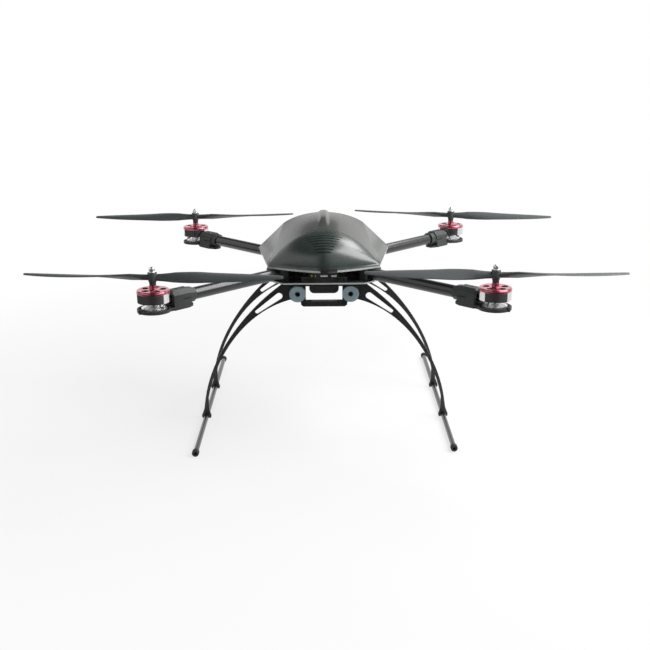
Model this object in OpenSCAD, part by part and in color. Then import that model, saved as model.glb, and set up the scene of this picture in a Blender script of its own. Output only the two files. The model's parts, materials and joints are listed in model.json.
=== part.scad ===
/* [Layout] */
// Distance of each motor from the middle, along X and along Y
motor_offset = 248.4; // [240:0.2:270]
// Height of the arm tubes' centre lines above the ground
arm_z = 253.5; // [240:0.5:290]
// Outside diameter of an arm tube
arm_d = 19; // [17:0.5:19]
// Wall of an arm tube
arm_wall = 1.5; // [1:0.25:2.5]
// Distance from the middle to the inner end of an arm tube
arm_in = 60; // [52:1:64]

/* [Frame plates] */
// Thickness of the bottom plate
bottom_t = 2.5; // [1.5:0.25:4]
// Thickness of the top plate
top_t = 3.2; // [1.5:0.1:4]
// Half the size of the octagonal bottom plate
bottom_half = 98; // [94:1:110]
// Half the length of the bottom plate's front edge
bottom_edge = 66; // [62:1:75]
// Web of an arm clamp above and below the tube
clamp_web = 0.8; // [0.8:0.1:3]
// Width of an arm clamp across the tube
clamp_w = 27.5; // [27.5:0.25:28]
// Length of an arm clamp along the tube
clamp_l = 14; // [10:1:18]

/* [Canopy] */
// Height of the canopy above its rim
canopy_h = 68; // [64:0.5:80]
// Height of the canopy's front edge above its rim
hood_h = 55; // [45:1:62]
// Half width at the front corners
front_corner_x = 90; // [86:1:96]
// Distance of the front corners ahead of the middle
front_corner_y = 78; // [72:1:84]
// Half width at the rear corners
rear_corner_x = 114; // [108:1:118]
// Distance of the rear corners behind the middle
rear_corner_y = 76; // [70:1:84]
// Distance of the nose ahead of the middle
nose_y = 115; // [106:1:122]
// Distance of the tail behind the middle
tail_y = 118; // [108:1:126]
// Half width of the canopy's roof between the side facets
roof_x = 68; // [60:1:76]
// Height of the top corner of a side facet above the rim
facet_h = 50; // [45:1:56]
// How far behind the middle a side facet's top corner is
facet_y = 40; // [30:1:50]
// Wall of the canopy
canopy_wall = 1.8; // [1.2:0.1:2.5]
// Height of the spine on the roof
spine_h = 3.5; // [2:0.5:8]
// Half width of the spine
spine_x = 8; // [5:0.5:10]
// Number of vents in the visor
vents = 7; // [3:1:8]
// Width of the top vent
vent_w = 60; // [40:1:64]
// Height of a vent
vent_h = 2.2; // [1.2:0.1:2.6]

/* [Motors] */
// Diameter of a motor
motor_d = 48; // [46:0.5:50]
// Height of a motor's flux ring
flux_h = 12.4; // [12:0.2:16]
// Wall of a flux ring
flux_wall = 1.4; // [1:0.1:1.6]
// Thickness of a motor's cap
cap_t = 3.5; // [2.5:0.25:5]
// Holes round a motor's cap
cap_holes = 5; // [4:1:6]
// Height of the collar under a propeller
collar_h = 6.5; // [4:0.5:12]
// Diameter of a motor shaft
shaft_d = 6; // [5:0.5:6.5]
// Outside diameter of a bearing
bearing_d = 13; // [11:0.5:13.5]
// How far a motor's base is in from the outside of its flux ring
base_inset = 4.5; // [4:0.25:5.5]
// Height of a motor's base
base_h = 14; // [12:0.5:16]
// Magnets in a flux ring
magnets = 14; // [10:2:14]
// Teeth of a stator
teeth = 12; // [9:3:12]

/* [Propellers] */
// Diameter of a propeller
prop_d = 381; // [330:1:384]
// Advance of a propeller in one turn
prop_pitch = 140; // [100:5:160]
// Widest chord of a blade
blade_chord = 32; // [26:1:36]
// Chord of a blade at its tip
tip_chord = 15; // [10:1:18]
// How far a blade's tip stands above its root
tip_rise = 3; // [0:0.5:6]
// Height of a propeller's hub
hub_h = 19; // [17:0.5:21]
// Diameter of a propeller's hub
hub_d = 13.6; // [13:0.1:15]
// Parked angles of the propellers: front left, front right, rear left, rear right
park_angles = [-5, -2.2, 3, -13.7]; // [-45:0.1:45]

/* [Motor mounts] */
// Length of a mount's clamp block
block_l = 42.5; // [40:0.5:48]
// Gap from the motor's middle to the clamp block
block_gap = 27.5; // [27.5:0.5:31]
// Width of a clamp block
block_w = 26; // [24:0.5:28]
// Height of a clamp block above the tube's centre line
block_up = 13; // [12.5:0.25:14]
// Depth of a clamp block below the tube's centre line
block_down = 12; // [12:0.25:13]
// Thickness of the foot under a clamp block
foot_t = 3.4; // [2.5:0.1:4.5]
// Floor of the ring under a motor
ring_t = 2.5; // [2:0.25:4]
// Drop from the tube's centre line to the floor of the ring
ring_drop = 10.5; // [10:0.25:11]

/* [Landing gear] */
// Distance of a leg frame from the middle
leg_y = 72; // [68:1:76]
// Thickness of a leg frame
leg_t = 3; // [2:0.25:4]
// Distance of a skid from the middle
skid_x = 201.5; // [195:0.5:215]
// Length of a skid
skid_l = 460; // [380:2:500]
// How far each skid's middle is behind the legs' middle: left, right
skid_shifts = [2, 14]; // [0:1:30]
// Outside diameter of the skids and rails
rod_d = 8; // [7:0.5:9]
// Diameter of a skid's end cap
cap_d = 11; // [10.5:0.25:13]
// Distance of a rail from the middle
rail_x = 43.5; // [42:0.5:46]
// How far a rail's centre line is below the bottom plate
rail_drop = 21; // [20:0.5:23]
// Diameter of a rail damper
damper_d = 27.4; // [22:0.2:28]
// Thickness of a rail damper
damper_t = 6; // [4:0.5:8]
// Half width of a leg frame's window
window_x = 30; // [28:0.5:32]
// Depth of a payload bar, front to back
bar_y = 8; // [7:0.5:10]
// Height of a payload bar
bar_h = 9; // [7.5:0.5:10]
// Drop from the bottom plate to the underside of a payload bar
bar_drop = 43.5; // [42:0.5:48]

/* [Battery] */
// Width of the battery
battery_w = 49; // [40:1:52]
// Height of the battery
battery_h = 25; // [20:1:28]
// Length of the battery
battery_l = 118; // [90:1:120]
// Rounding of the battery's lower edges
battery_r = 8; // [4:0.5:9]
// Width of the strap
strap_w = 20; // [12:1:30]
// Thickness of the strap
strap_t = 1.4; // [1:0.1:2]

/* [Hidden] */
$fn = 64;

// Clearances: pieces of one body, and a shaft in its bearing
fit = 0.05;
run = 0.05;
// Past a face, so that a cut goes right through
eps = 1;

// Corners of the frame: front left, front right, rear left, rear right
corners = [[-1, -1], [1, -1], [-1, 1], [1, 1]];
// Turning sense of each propeller seen from above: 1 is counter-clockwise
turning = [1, -1, -1, 1];
function arm_angle(i) = atan2(corners[i].y, corners[i].x);
motor_r = motor_offset * sqrt(2);

// Levels of the frame, from the arms
bottom_top = arm_z - arm_d / 2 - clamp_web;
bottom_z = bottom_top - bottom_t;
top_z = arm_z + arm_d / 2 + clamp_web;
rim_z = top_z + top_t;

// Levels of a motor, from the mount's ring
base_d = motor_d - 2 * base_inset;
ring_top = arm_z - ring_drop;
base_top = ring_top + base_h;
flux_z = base_top + 0.4;
cap_z = flux_z + flux_h;
collar_z = cap_z + cap_t;
hub_z = collar_z + collar_h;
blade_z = hub_z + hub_h * 0.55;
nut_z = hub_z + hub_h;
nut_h = 4.4;
nut_r = 4.6;
washer_t = 1;
shaft_top = nut_z + washer_t + nut_h - 0.8;
shaft_foot = ring_top - 1.8;
bearing_h = 4;
tube_top = cap_z - 2;
tube_r = bearing_d / 2 + 1.5;

// Stator, between the base and the cap
stator_z = flux_z + 1.6;
stator_h = flux_h - 5;
magnet_out = motor_d / 2 - flux_wall - 0.4;
magnet_t = 1.9;
magnet_w = 7.5;
stator_r = magnet_out - magnet_t - 0.6;
tooth_w = 2.6;
coil_t = 1.2;
core_r = tube_r + 2.6;

// Screws
screw_r = 1.5;
head_r = 2.75;
head_h = 1.8;
motor_screw_r = base_d / 2 - 5.5;

// Mount block
block_out = -block_gap;
block_in = block_out - block_l;
block_bevel = 6.5;
arm_out = motor_r + block_out - 2;
ring_r = motor_d / 2 + 0.7;
lip_h = 4.5;
lip_w = 3;
// A block's inner end is a lower collar
collar_l = 11;
collar_d = 1.4;
// The foot under a block, with a slit that the pinch screw closes
foot_gap = 0.6;
foot_w = block_w - 4;
foot_low = block_down + foot_gap + foot_t;
foot_in = block_in + 1.5 + foot_w / 2;
// Grub screws on a block's top and the pinch screw under its foot, in the mount's own frame
grub_r = 2;
grubs = [block_in + 17, block_in + 29];
pinch_x = foot_in - 2;
pinch_l = foot_low - arm_d / 2 - 1.2;

// Arm clamps along each tube
far_clamp = (bottom_half + bottom_edge) / sqrt(2) - clamp_l;
clamp_places = [arm_in + clamp_l / 2 + 2, far_clamp];
clamp_screw = clamp_w / 2 - 2.2;

// Leg frames
leg_top = bottom_z;
rail_z = bottom_z - rail_drop;
bar_z = bottom_z - bar_drop;
foot_z = cap_d / 2;
foot_r = rod_d / 2 + 4;
shin_z = foot_z + 32.5;
shin_x = skid_x - 2;
shin_w = 5;
leg_face = leg_y + leg_t / 2;
bar_hole_x = window_x - 4;
bar_hole_r = 1.6;
rail_end = leg_face + damper_t;
bracket = 10;
bracket_x = 50;

// Boards between the plates
board_t = 1.6;
board_z = bottom_top + 3.5;
power_z = arm_z - 3.6;
power_front = bottom_half - 6;
power_w = 76;
power_l = 34;
esc_w = 56;
// Connectors on the power board: place across and width
connectors = [[0.2, 12], [16, 8]];
connector_h = 2.4;

// Plate standoffs and board posts
standoffs = [[-84, 18], [84, 18], [-84, -18], [84, -18], [-24, 84], [24, 84]];
standoff_r = 3;

// A point on a cubic curve
function bezier(p, t) =
    pow(1 - t, 3) * p[0] + 3 * pow(1 - t, 2) * t * p[1] + 3 * (1 - t) * t * t * p[2] + pow(t, 3) * p[3];
function ease(t) = t <= 0 ? 0 : t >= 1 ? 1 : t * t * (3 - 2 * t);
function mix(a, b, t) = a + (b - a) * t;

// Faces of a closed skin between an outer and an inner grid of rows by columns
function skin_faces(rows, cols) = let (n = rows * cols) concat(
    [for (i = [0 : rows - 2], j = [0 : cols - 2])
        each [[i * cols + j, i * cols + j + 1, (i + 1) * cols + j + 1],
              [i * cols + j, (i + 1) * cols + j + 1, (i + 1) * cols + j]]],
    [for (i = [0 : rows - 2], j = [0 : cols - 2])
        each [[n + i * cols + j, n + (i + 1) * cols + j + 1, n + i * cols + j + 1],
              [n + i * cols + j, n + (i + 1) * cols + j, n + (i + 1) * cols + j + 1]]],
    [for (j = [0 : cols - 2])
        each [[j, n + j, n + j + 1], [j, n + j + 1, j + 1]]],
    [for (j = [0 : cols - 2], k = (rows - 1) * cols + j)
        each [[k, k + 1, n + k + 1], [k, n + k + 1, n + k]]],
    [for (i = [0 : rows - 2], k = i * cols)
        each [[k, k + cols, n + k + cols], [k, n + k + cols, n + k]]],
    [for (i = [0 : rows - 2], k = i * cols + cols - 1)
        each [[k, n + k, n + k + cols], [k, n + k + cols, k + cols]]]
);

// Faces of a closed tube of rings, each with the same number of points
function tube_faces(rings, sides) = concat(
    [[for (j = [sides - 1 : -1 : 0]) j]],
    [for (i = [0 : rings - 2], j = [0 : sides - 1], k = (j + 1) % sides)
        each [[i * sides + j, i * sides + k, (i + 1) * sides + k],
              [i * sides + j, (i + 1) * sides + k, (i + 1) * sides + j]]],
    [[for (j = [0 : sides - 1]) (rings - 1) * sides + j]]
);

// Canopy: columns across, from the left rim over the roof to the right rim
roof_steps = 14;
panel_steps = 5;
hood_steps = 12;
facet_steps = 5;
tail_steps = 7;
visor_steps = 9;
roof_share = roof_steps / (roof_steps + panel_steps);
columns = [for (k = [-roof_steps - panel_steps : roof_steps + panel_steps])
    sign(k) * (abs(k) <= roof_steps
        ? roof_share * pow(abs(k) / roof_steps, 1.35)
        : roof_share + (1 - roof_share) * (abs(k) - roof_steps) / panel_steps)];
front_lift = 3.5;
rear_lift = 1.2;
hood_lean = 23 / 55;
hood_arc = 30;
roof_arc = 48;
bow_power = 1.5;
hood_scale_y = 15;
// The visor is flush with the hood, with a seam between them
visor_inset = 0.15;
visor_seam = 0.015;

// A point of an arched station: u across, then its place, lean, rim, crease, top and arc
function station(u, y, lean, w, xc, zc, zt, arc) = let (
    a = abs(u),
    t = min(1, a / roof_share),
    f = max(0, (a - roof_share) / (1 - roof_share)),
    xa = xc * sin(arc * t) / sin(arc),
    za = zc + (zt - zc) * (cos(arc * t) - cos(arc)) / (1 - cos(arc)),
    x = a <= roof_share ? xa : mix(xc, w, f),
    z = a <= roof_share ? za : mix(zc, 0, f)
) [sign(u) * x, y + lean * z, z];

corner_span = front_corner_y + rear_corner_y;
function side_x(y) = mix(front_corner_x, rear_corner_x, (y + front_corner_y) / corner_span);
// The spine rises and falls along the roof, from a start to an end on the canopy's length
spine_from = [-55, -5];
spine_to = [60, 105];
function spine_along(y) = ease((y - spine_from[0]) / (spine_from[1] - spine_from[0]))
    * (1 - ease((y - spine_to[0]) / (spine_to[1] - spine_to[0])));
function spine(x, y) = spine_h * spine_along(y) * (1 - ease((abs(x) - spine_x * 0.35) / spine_x));
function with_spine(p) = [p.x, p.y, p.z + spine(p.x, p.y)];

// Stations from the hood's front edge to the facets' top corners
function hood_row(u, p) = station(
    u, mix(-front_corner_y, facet_y, p), hood_lean * pow(1 - p, 1.5),
    side_x(mix(-front_corner_y, facet_y, p)),
    mix(front_corner_x - 0.4, roof_x, p), mix(front_lift, facet_h, p),
    mix(hood_h, canopy_h, sin(90 * p)), mix(hood_arc, roof_arc, p));
// From there to the rear corners
function facet_row(u, q) = station(
    u, mix(facet_y, rear_corner_y, q), 0,
    side_x(mix(facet_y, rear_corner_y, q)),
    mix(roof_x, rear_corner_x - 0.4, q), mix(facet_h, rear_lift, q),
    mix(canopy_h, canopy_h * 0.72, pow(q, 1.6)), roof_arc);
// Rim outlines at the nose and at the tail
function nose_bow(u) = [front_corner_x * u, -mix(nose_y, front_corner_y, pow(abs(u), bow_power))];
function tail_bow(u) = [rear_corner_x * u, mix(tail_y, rear_corner_y, pow(abs(u), bow_power))];
// From the rear corners down to the tail
function tail_row(u, w) = let (p = facet_row(u, 1), b = tail_bow(u))
    [mix(p.x, b.x, sin(90 * w)), mix(p.y, b.y, sin(90 * w)), p.z * cos(90 * w)];
function hood_point(row, u) =
    row <= hood_steps ? hood_row(u, row / hood_steps)
    : row <= hood_steps + facet_steps ? facet_row(u, (row - hood_steps) / facet_steps)
    : tail_row(u, (row - hood_steps - facet_steps) / tail_steps);
// From the hood's front edge down to the nose
function visor_point(w, v) = let (
    p = hood_row(v * roof_share, 0),
    b = nose_bow(v),
    s = pow(sin(90 * w), 1.15)
) [mix(p.x, b.x, s), mix(p.y, b.y, s), p.z * pow(1 - pow(w, 1.5), 0.75)];
function shrunk(p, y0, k) = [p.x * (1 - k), y0 + (p.y - y0) * (1 - k), p.z * (1 - k)];

// Rim outline for the top plate, a lip wider than the canopy
plate_lip = 1.2;
bow_steps = 16;
function rim_outline() = concat(
    [for (k = [-bow_steps : bow_steps]) nose_bow(k / bow_steps)],
    [for (k = [bow_steps : -1 : -bow_steps]) tail_bow(k / bow_steps)]);
function widened(p) = p * (1 + plate_lip / norm(p));

module at_motor(i) {
    translate([corners[i].x * motor_offset, corners[i].y * motor_offset, 0])
        children();
}

module at_mount(i) {
    at_motor(i)
        translate([0, 0, arm_z])
            rotate([0, 0, arm_angle(i)])
                children();
}

module along_arm(i) {
    translate([0, 0, arm_z])
        rotate([0, 0, arm_angle(i)])
            children();
}

module rod(r, l) {
    rotate([0, 90, 0])
        cylinder(r = r, h = l);
}

module cap_screw(l) {
    cylinder(r = head_r, h = head_h);
    translate([0, 0, -l])
        cylinder(r = screw_r, h = l + head_h / 2);
}

// Screws of the arm clamps, in the arm's own frame
module clamp_screw_places() {
    for (c = clamp_places, s = [-1, 1])
        translate([c, s * clamp_screw, 0])
            children();
}

module bottom_outline() {
    polygon([
        [-bottom_edge, -bottom_half], [bottom_edge, -bottom_half],
        [bottom_half, -bottom_edge], [bottom_half, bottom_edge],
        [bottom_edge, bottom_half], [-bottom_edge, bottom_half],
        [-bottom_half, bottom_edge], [-bottom_half, -bottom_edge]
    ]);
}

module bottom_plate() {
    slot_x = battery_w / 2 + strap_t / 2 + 0.2;
    color("dimgray")
        difference() {
            translate([0, 0, bottom_z])
                linear_extrude(bottom_t)
                    bottom_outline();
            for (s = [-1, 1])
                translate([s * slot_x, 0, bottom_z + bottom_t / 2])
                    cube([strap_t + 0.6, strap_w + 1, bottom_t + 2 * eps], center = true);
            translate([0, 0, bottom_z - eps]) {
                for (p = standoffs)
                    translate(p)
                        cylinder(r = screw_r + fit, h = bottom_t + 2 * eps);
                for (i = [0 : 3])
                    rotate([0, 0, arm_angle(i)])
                        clamp_screw_places()
                            cylinder(r = screw_r + fit, h = bottom_t + 2 * eps);
            }
        }
}

module top_plate() {
    color("dimgray")
        difference() {
            translate([0, 0, top_z])
                linear_extrude(top_t)
                    polygon([for (p = rim_outline()) widened(p)]);
            translate([0, 0, top_z - eps]) {
                for (p = standoffs)
                    translate(p)
                        cylinder(r = screw_r + fit, h = top_t + 2 * eps);
                for (i = [0 : 3])
                    rotate([0, 0, arm_angle(i)])
                        clamp_screw_places()
                            cylinder(r = screw_r + fit, h = top_t + 2 * eps);
                translate([0, -42, 0])
                    cylinder(r = 12, h = top_t + 2 * eps);
            }
        }
}

module plate_standoffs() {
    color("silver")
        for (p = standoffs)
            translate([p.x, p.y, bottom_top])
                difference() {
                    cylinder(r = standoff_r, h = top_z - bottom_top);
                    translate([0, 0, -eps])
                        cylinder(r = screw_r + fit, h = top_z - bottom_top + 2 * eps);
                }
}

module arm_clamps() {
    clamp_h = top_z - bottom_top;
    color([0.1, 0.1, 0.1])
        for (i = [0 : 3])
            along_arm(i)
                for (c = clamp_places)
                    difference() {
                        translate([c, 0, 0])
                            cube([clamp_l, clamp_w, clamp_h], center = true);
                        translate([c - clamp_l, 0, 0])
                            rod(arm_d / 2 + fit, 2 * clamp_l);
                        for (s = [-1, 1])
                            translate([c, s * clamp_screw, -clamp_h])
                                cylinder(r = screw_r + fit, h = 2 * clamp_h);
                    }
}

module arm(i) {
    color([0.12, 0.12, 0.12])
        along_arm(i)
            translate([arm_in, 0, 0])
                difference() {
                    rod(arm_d / 2, arm_out - arm_in);
                    translate([-eps, 0, 0])
                        rod(arm_d / 2 - arm_wall, arm_out - arm_in + 2 * eps);
                }
}

// Outline of a clamp block's end, drawn in by a depth
function block_end(d) = let (h = block_w / 2 - d, up = block_up - d, down = d - block_down, c = block_bevel) [
    [-h, down + c], [-h, up - c], [-h + c, up], [h - c, up],
    [h, up - c], [h, down + c], [h - c, down], [-h + c, down]
];

module block_run(from, to, d) {
    translate([from, 0, 0])
        rotate([90, 0, 90])
            linear_extrude(to - from)
                polygon(block_end(d));
}

// Clamp block: a tapered side outline crossed with its end outline, lower at the collar
module mount_block() {
    face_up = arm_d / 2 + 0.6;
    face_down = -face_up;
    intersection() {
        rotate([90, 0, 0])
            linear_extrude(block_w, center = true)
                polygon([
                    [block_in, face_down], [block_in, face_up], [block_in + 13, block_up],
                    [block_out - 3, block_up], [block_out, block_up - 3],
                    [block_out, -block_down], [block_in + 8, -block_down]
                ]);
        union() {
            block_run(block_in, block_in + collar_l + 1, collar_d);
            block_run(block_in + collar_l, block_out, 0);
        }
    }
}

// A foot with a round inner end, which carries the block's sides on down behind a slit
module mount_foot() {
    web_l = block_l - 14;
    translate([0, 0, -foot_low]) {
        translate([foot_in, 0, 0])
            cylinder(d = foot_w, h = foot_t);
        translate([foot_in, -foot_w / 2, 0])
            cube([-ring_r + lip_w - foot_in, foot_w, foot_t]);
        translate([block_out - web_l, -block_w / 2, 0])
            cube([web_l, block_w, foot_low - block_down + block_bevel]);
    }
}

// The block, its foot, and the ring on its tongue under the motor, with a boss at its tip
module mount_body() {
    tongue = 4;
    boss_r = 3.2;
    mount_block();
    mount_foot();
    translate([0, 0, -ring_drop - ring_t]) {
        cylinder(r = ring_r, h = ring_t);
        translate([block_out - tongue, -block_w / 2, 0])
            cube([block_gap + tongue, block_w, ring_t]);
        difference() {
            cylinder(r = ring_r, h = lip_h);
            translate([0, 0, ring_t])
                cylinder(r = ring_r - lip_w, h = lip_h);
        }
        translate([ring_r - 1, 0, 0])
            cylinder(r = boss_r, h = lip_h + 2);
    }
}

module motor_mount(i) {
    shaft_hole = tube_r + 0.5;
    split = [16, 3, 2];
    color([0.08, 0.08, 0.08])
        at_mount(i)
            difference() {
                mount_body();
                translate([block_in - eps, 0, 0])
                    rod(arm_d / 2 + fit, arm_out - motor_r - block_in + eps);
                translate([block_in, 0, 0])
                    rod(arm_d / 2 - arm_wall - 0.5, block_l + eps);
                translate([0, 0, -ring_drop - ring_t - eps])
                    cylinder(r = shaft_hole, h = ring_t + 2 * eps);
                for (a = [45 : 90 : 315])
                    rotate([0, 0, a])
                        translate([motor_screw_r, 0, -ring_drop - ring_t - eps])
                            cylinder(r = screw_r + fit, h = ring_t + 2 * eps);
                translate([pinch_x, 0, -foot_low - eps])
                    cylinder(r = screw_r + fit, h = pinch_l + eps + 0.5);
                for (x = grubs)
                    translate([x, 0, 0])
                        cylinder(r = grub_r + fit, h = 2 * block_up);
                for (s = [-1, 1])
                    translate([block_in + collar_l + split.x / 2, s * block_w / 2, -1])
                        cube(split, center = true);
            }
}

module mount_screws() {
    grub_z = arm_d / 2 + 2 * fit;
    color([0.2, 0.2, 0.2])
        for (i = [0 : 3])
            at_mount(i) {
                for (a = [45 : 90 : 315])
                    rotate([0, 0, a])
                        translate([motor_screw_r, 0, -ring_drop - ring_t])
                            mirror([0, 0, 1])
                                cap_screw(ring_t + 2.5);
                translate([pinch_x, 0, -foot_low])
                    mirror([0, 0, 1])
                        cap_screw(pinch_l);
                for (x = grubs)
                    translate([x, 0, grub_z])
                        cylinder(r = grub_r, h = block_up - grub_z - 0.4);
            }
}

// Posts of a base, from its flange up to its deck
posts = 8;
post = [4, 5];
post_r = base_d / 2 - 1.2;

module motor_base() {
    flange_t = 5.5;
    deck_t = 1.6;
    difference() {
        union() {
            translate([0, 0, ring_top])
                cylinder(d = base_d, h = flange_t);
            translate([0, 0, ring_top])
                cylinder(r = tube_r, h = tube_top - ring_top);
            translate([0, 0, base_top - deck_t])
                cylinder(d = base_d - 2, h = deck_t);
            for (k = [0 : posts - 1])
                rotate([0, 0, 360 * k / posts])
                    translate([post_r - post.x, -post.y / 2, ring_top + flange_t / 2])
                        cube([post.x, post.y, base_h - flange_t / 2 - deck_t / 2]);
        }
        translate([0, 0, ring_top - eps])
            cylinder(r = bearing_d / 2 + fit, h = tube_top - ring_top + 2 * eps);
        for (a = [45 : 90 : 315])
            rotate([0, 0, a])
                translate([motor_screw_r, 0, ring_top - eps])
                    cylinder(r = screw_r + fit, h = flange_t + eps);
    }
}

module motor_bases() {
    color("silver")
        for (i = [0 : 3])
            at_motor(i)
                rotate([0, 0, arm_angle(i)])
                    motor_base();
}

module tooth_places() {
    for (k = [0 : teeth - 1])
        rotate([0, 0, 360 * k / teeth])
            children();
}

module stator_core() {
    tip_t = 1.8;
    tip_w = 2 * PI * stator_r / teeth * 0.76;
    translate([0, 0, stator_z])
        difference() {
            intersection() {
                union() {
                    cylinder(r = core_r, h = stator_h);
                    tooth_places() {
                        translate([core_r - 1, -tooth_w / 2, 0])
                            cube([stator_r - core_r, tooth_w, stator_h]);
                        translate([stator_r - tip_t, -tip_w / 2, 0])
                            cube([tip_t + 1, tip_w, stator_h]);
                    }
                }
                cylinder(r = stator_r, h = stator_h);
            }
            translate([0, 0, -eps])
                cylinder(r = tube_r + fit, h = stator_h + 2 * eps);
        }
}

module stator_cores() {
    color("slategray")
        for (i = [0 : 3])
            at_motor(i)
                stator_core();
}

module stator_coils() {
    coil_in = core_r + 1.3;
    coil_out = stator_r - 2;
    color("peru")
        for (i = [0 : 3])
            at_motor(i)
                tooth_places()
                    translate([coil_in, 0, stator_z])
                        difference() {
                            translate([0, -tooth_w / 2 - coil_t, -coil_t])
                                cube([coil_out - coil_in, tooth_w + 2 * coil_t, stator_h + 2 * coil_t]);
                            translate([-eps, -tooth_w / 2 - fit, -fit])
                                cube([coil_out - coil_in + 2 * eps, tooth_w + 2 * fit, stator_h + 2 * fit]);
                        }
}

module motor_bearings() {
    color("lightgray")
        for (i = [0 : 3], z = [ring_top + 1, tube_top - bearing_h])
            at_motor(i)
                translate([0, 0, z])
                    difference() {
                        cylinder(d = bearing_d, h = bearing_h);
                        translate([0, 0, -eps])
                            cylinder(r = shaft_d / 2 + run, h = bearing_h + 2 * eps);
                    }
}

// A lead in an upright plane: round rings along a route of [out, up] points
module lead(route, r) {
    sides = 8;
    last = len(route) - 1;
    points = [for (k = [0 : last])
        let (
            d = route[min(last, k + 1)] - route[max(0, k - 1)],
            t = d / norm(d)
        )
        each [for (j = [0 : sides - 1])
            let (a = 360 * j / sides, n = r * cos(a))
            [route[k].x - t.y * n, r * sin(a), route[k].y + t.x * n]]];
    polyhedron(points, tube_faces(last + 1, sides));
}

// Three leads from each motor's base through the arm to the speed controller
lead_r = 1.1;
lead_step = 2.6;
lead_low = 2.2;
lead_end = esc_w / 2 * sqrt(2) - 9;
lead_start = board_z + board_t + lead_r + 0.1 - arm_z;
lead_route = [
    [lead_end, lead_start], [lead_end + 6, lead_start + 0.3],
    [arm_in - 4, -lead_low - 0.3], [arm_in + 2, -lead_low], [arm_out - 6, -lead_low], [arm_out, -lead_low],
    [motor_r - motor_d / 2 - 2, -lead_low - 0.8], [motor_r - motor_d / 2 + 1, -2 * lead_low],
    [motor_r - post_r - fit, -2 * lead_low - 0.2]
];

module motor_leads() {
    color([0.15, 0.14, 0.1])
        for (i = [0 : 3], s = [-1 : 1])
            along_arm(i)
                translate([0, s * lead_step, 0])
                    lead(lead_route, lead_r);
}

module motor_cap(i) {
    edge = 1.2;
    hole_at = motor_d / 2 - 10;
    hole_r = hole_at * 0.37;
    boss_h = 1.4;
    bore = shaft_d / 2 + fit;
    collar_r = bore + 2.2;
    color("crimson")
        at_motor(i)
            difference() {
                translate([0, 0, cap_z])
                    rotate_extrude()
                        polygon([
                            [bore, -boss_h], [bore + 2, -boss_h], [bore + 2, 0],
                            [motor_d / 2, 0], [motor_d / 2, cap_t - edge], [motor_d / 2 - edge, cap_t],
                            [collar_r + 1.6, cap_t], [collar_r, cap_t + 1.2],
                            [collar_r, cap_t + collar_h], [bore, cap_t + collar_h]
                        ]);
                for (k = [0 : cap_holes - 1])
                    rotate([0, 0, 360 * k / cap_holes + park_angles[i] + 16])
                        translate([hole_at, 0, cap_z - eps])
                            cylinder(r = hole_r, h = cap_t + 2 * eps);
            }
}

module flux_ring(i) {
    color([0.3, 0.3, 0.32])
        at_motor(i) {
            translate([0, 0, flux_z])
                difference() {
                    cylinder(d = motor_d, h = flux_h);
                    translate([0, 0, -eps])
                        cylinder(r = motor_d / 2 - flux_wall, h = flux_h + 2 * eps);
                }
            for (k = [0 : magnets - 1])
                rotate([0, 0, 360 * k / magnets])
                    translate([magnet_out - magnet_t, -magnet_w / 2, stator_z - 0.5])
                        cube([magnet_t, magnet_w, stator_h + 1]);
        }
}

module motor_shaft(i) {
    color("gainsboro")
        at_motor(i) {
            translate([0, 0, shaft_foot])
                cylinder(d = shaft_d, h = shaft_top - shaft_foot);
            translate([0, 0, shaft_foot])
                cylinder(r = shaft_d / 2 + 1.4, h = 1.2);
        }
}

// Blade: chord, thickness and twist along the radius
blade_root = 4.2;
blade_rows = 16;
blade_sides = 14;
tip_r = prop_d / 2;
function blade_r(k) = mix(blade_root, tip_r, k / blade_rows);
widest = 0.4;
tip_start = 0.97;
function chord(r) = let (t = r / tip_r)
    t < widest ? mix(hub_d * 0.85, blade_chord, ease(t / widest))
    : t < tip_start ? mix(blade_chord, tip_chord, pow((t - widest) / (tip_start - widest), 3.2))
    : mix(tip_chord, tip_chord * 0.7, (t - tip_start) / (1 - tip_start));
function thickness(r) = mix(8, 2.2, ease(r / tip_r * 2.2)) * mix(1, 0.6, r / tip_r);
function twist(r) = min(34, atan(prop_pitch / (2 * PI * max(r, 1))));
function blade_point(r, a, sense) = let (
    c = chord(r),
    x = cos(a) * c / 2 + c * 0.08,
    h = sin(a) * thickness(r) / 2 + 0.05 * c * (1 - pow(cos(a), 2)),
    b = twist(r)
) [r, sense * (x * cos(b) - h * sin(b)), x * sin(b) + h * cos(b) + tip_rise * pow(r / tip_r, 3)];

module blade(sense) {
    points = [for (k = [0 : blade_rows], j = [0 : blade_sides - 1])
        blade_point(blade_r(k), -sense * 360 * j / blade_sides, sense)];
    polyhedron(points, tube_faces(blade_rows + 1, blade_sides));
}

module propeller(i) {
    neck_r = hub_d / 2 - 1.9;
    color([0.16, 0.17, 0.19])
        at_motor(i)
            rotate([0, 0, park_angles[i]])
                difference() {
                    union() {
                        translate([0, 0, hub_z])
                            rotate_extrude()
                                polygon([
                                    [0, 0], [neck_r, 0], [neck_r, 3], [hub_d / 2, hub_h / 2],
                                    [hub_d / 2, hub_h - 1.2], [hub_d / 2 - 1.2, hub_h], [0, hub_h]
                                ]);
                        for (a = [0, 180])
                            rotate([0, 0, a])
                                translate([0, 0, blade_z])
                                    blade(turning[i]);
                    }
                    translate([0, 0, hub_z - eps])
                        cylinder(r = shaft_d / 2 + fit, h = hub_h + 2 * eps);
                }
}

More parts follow.
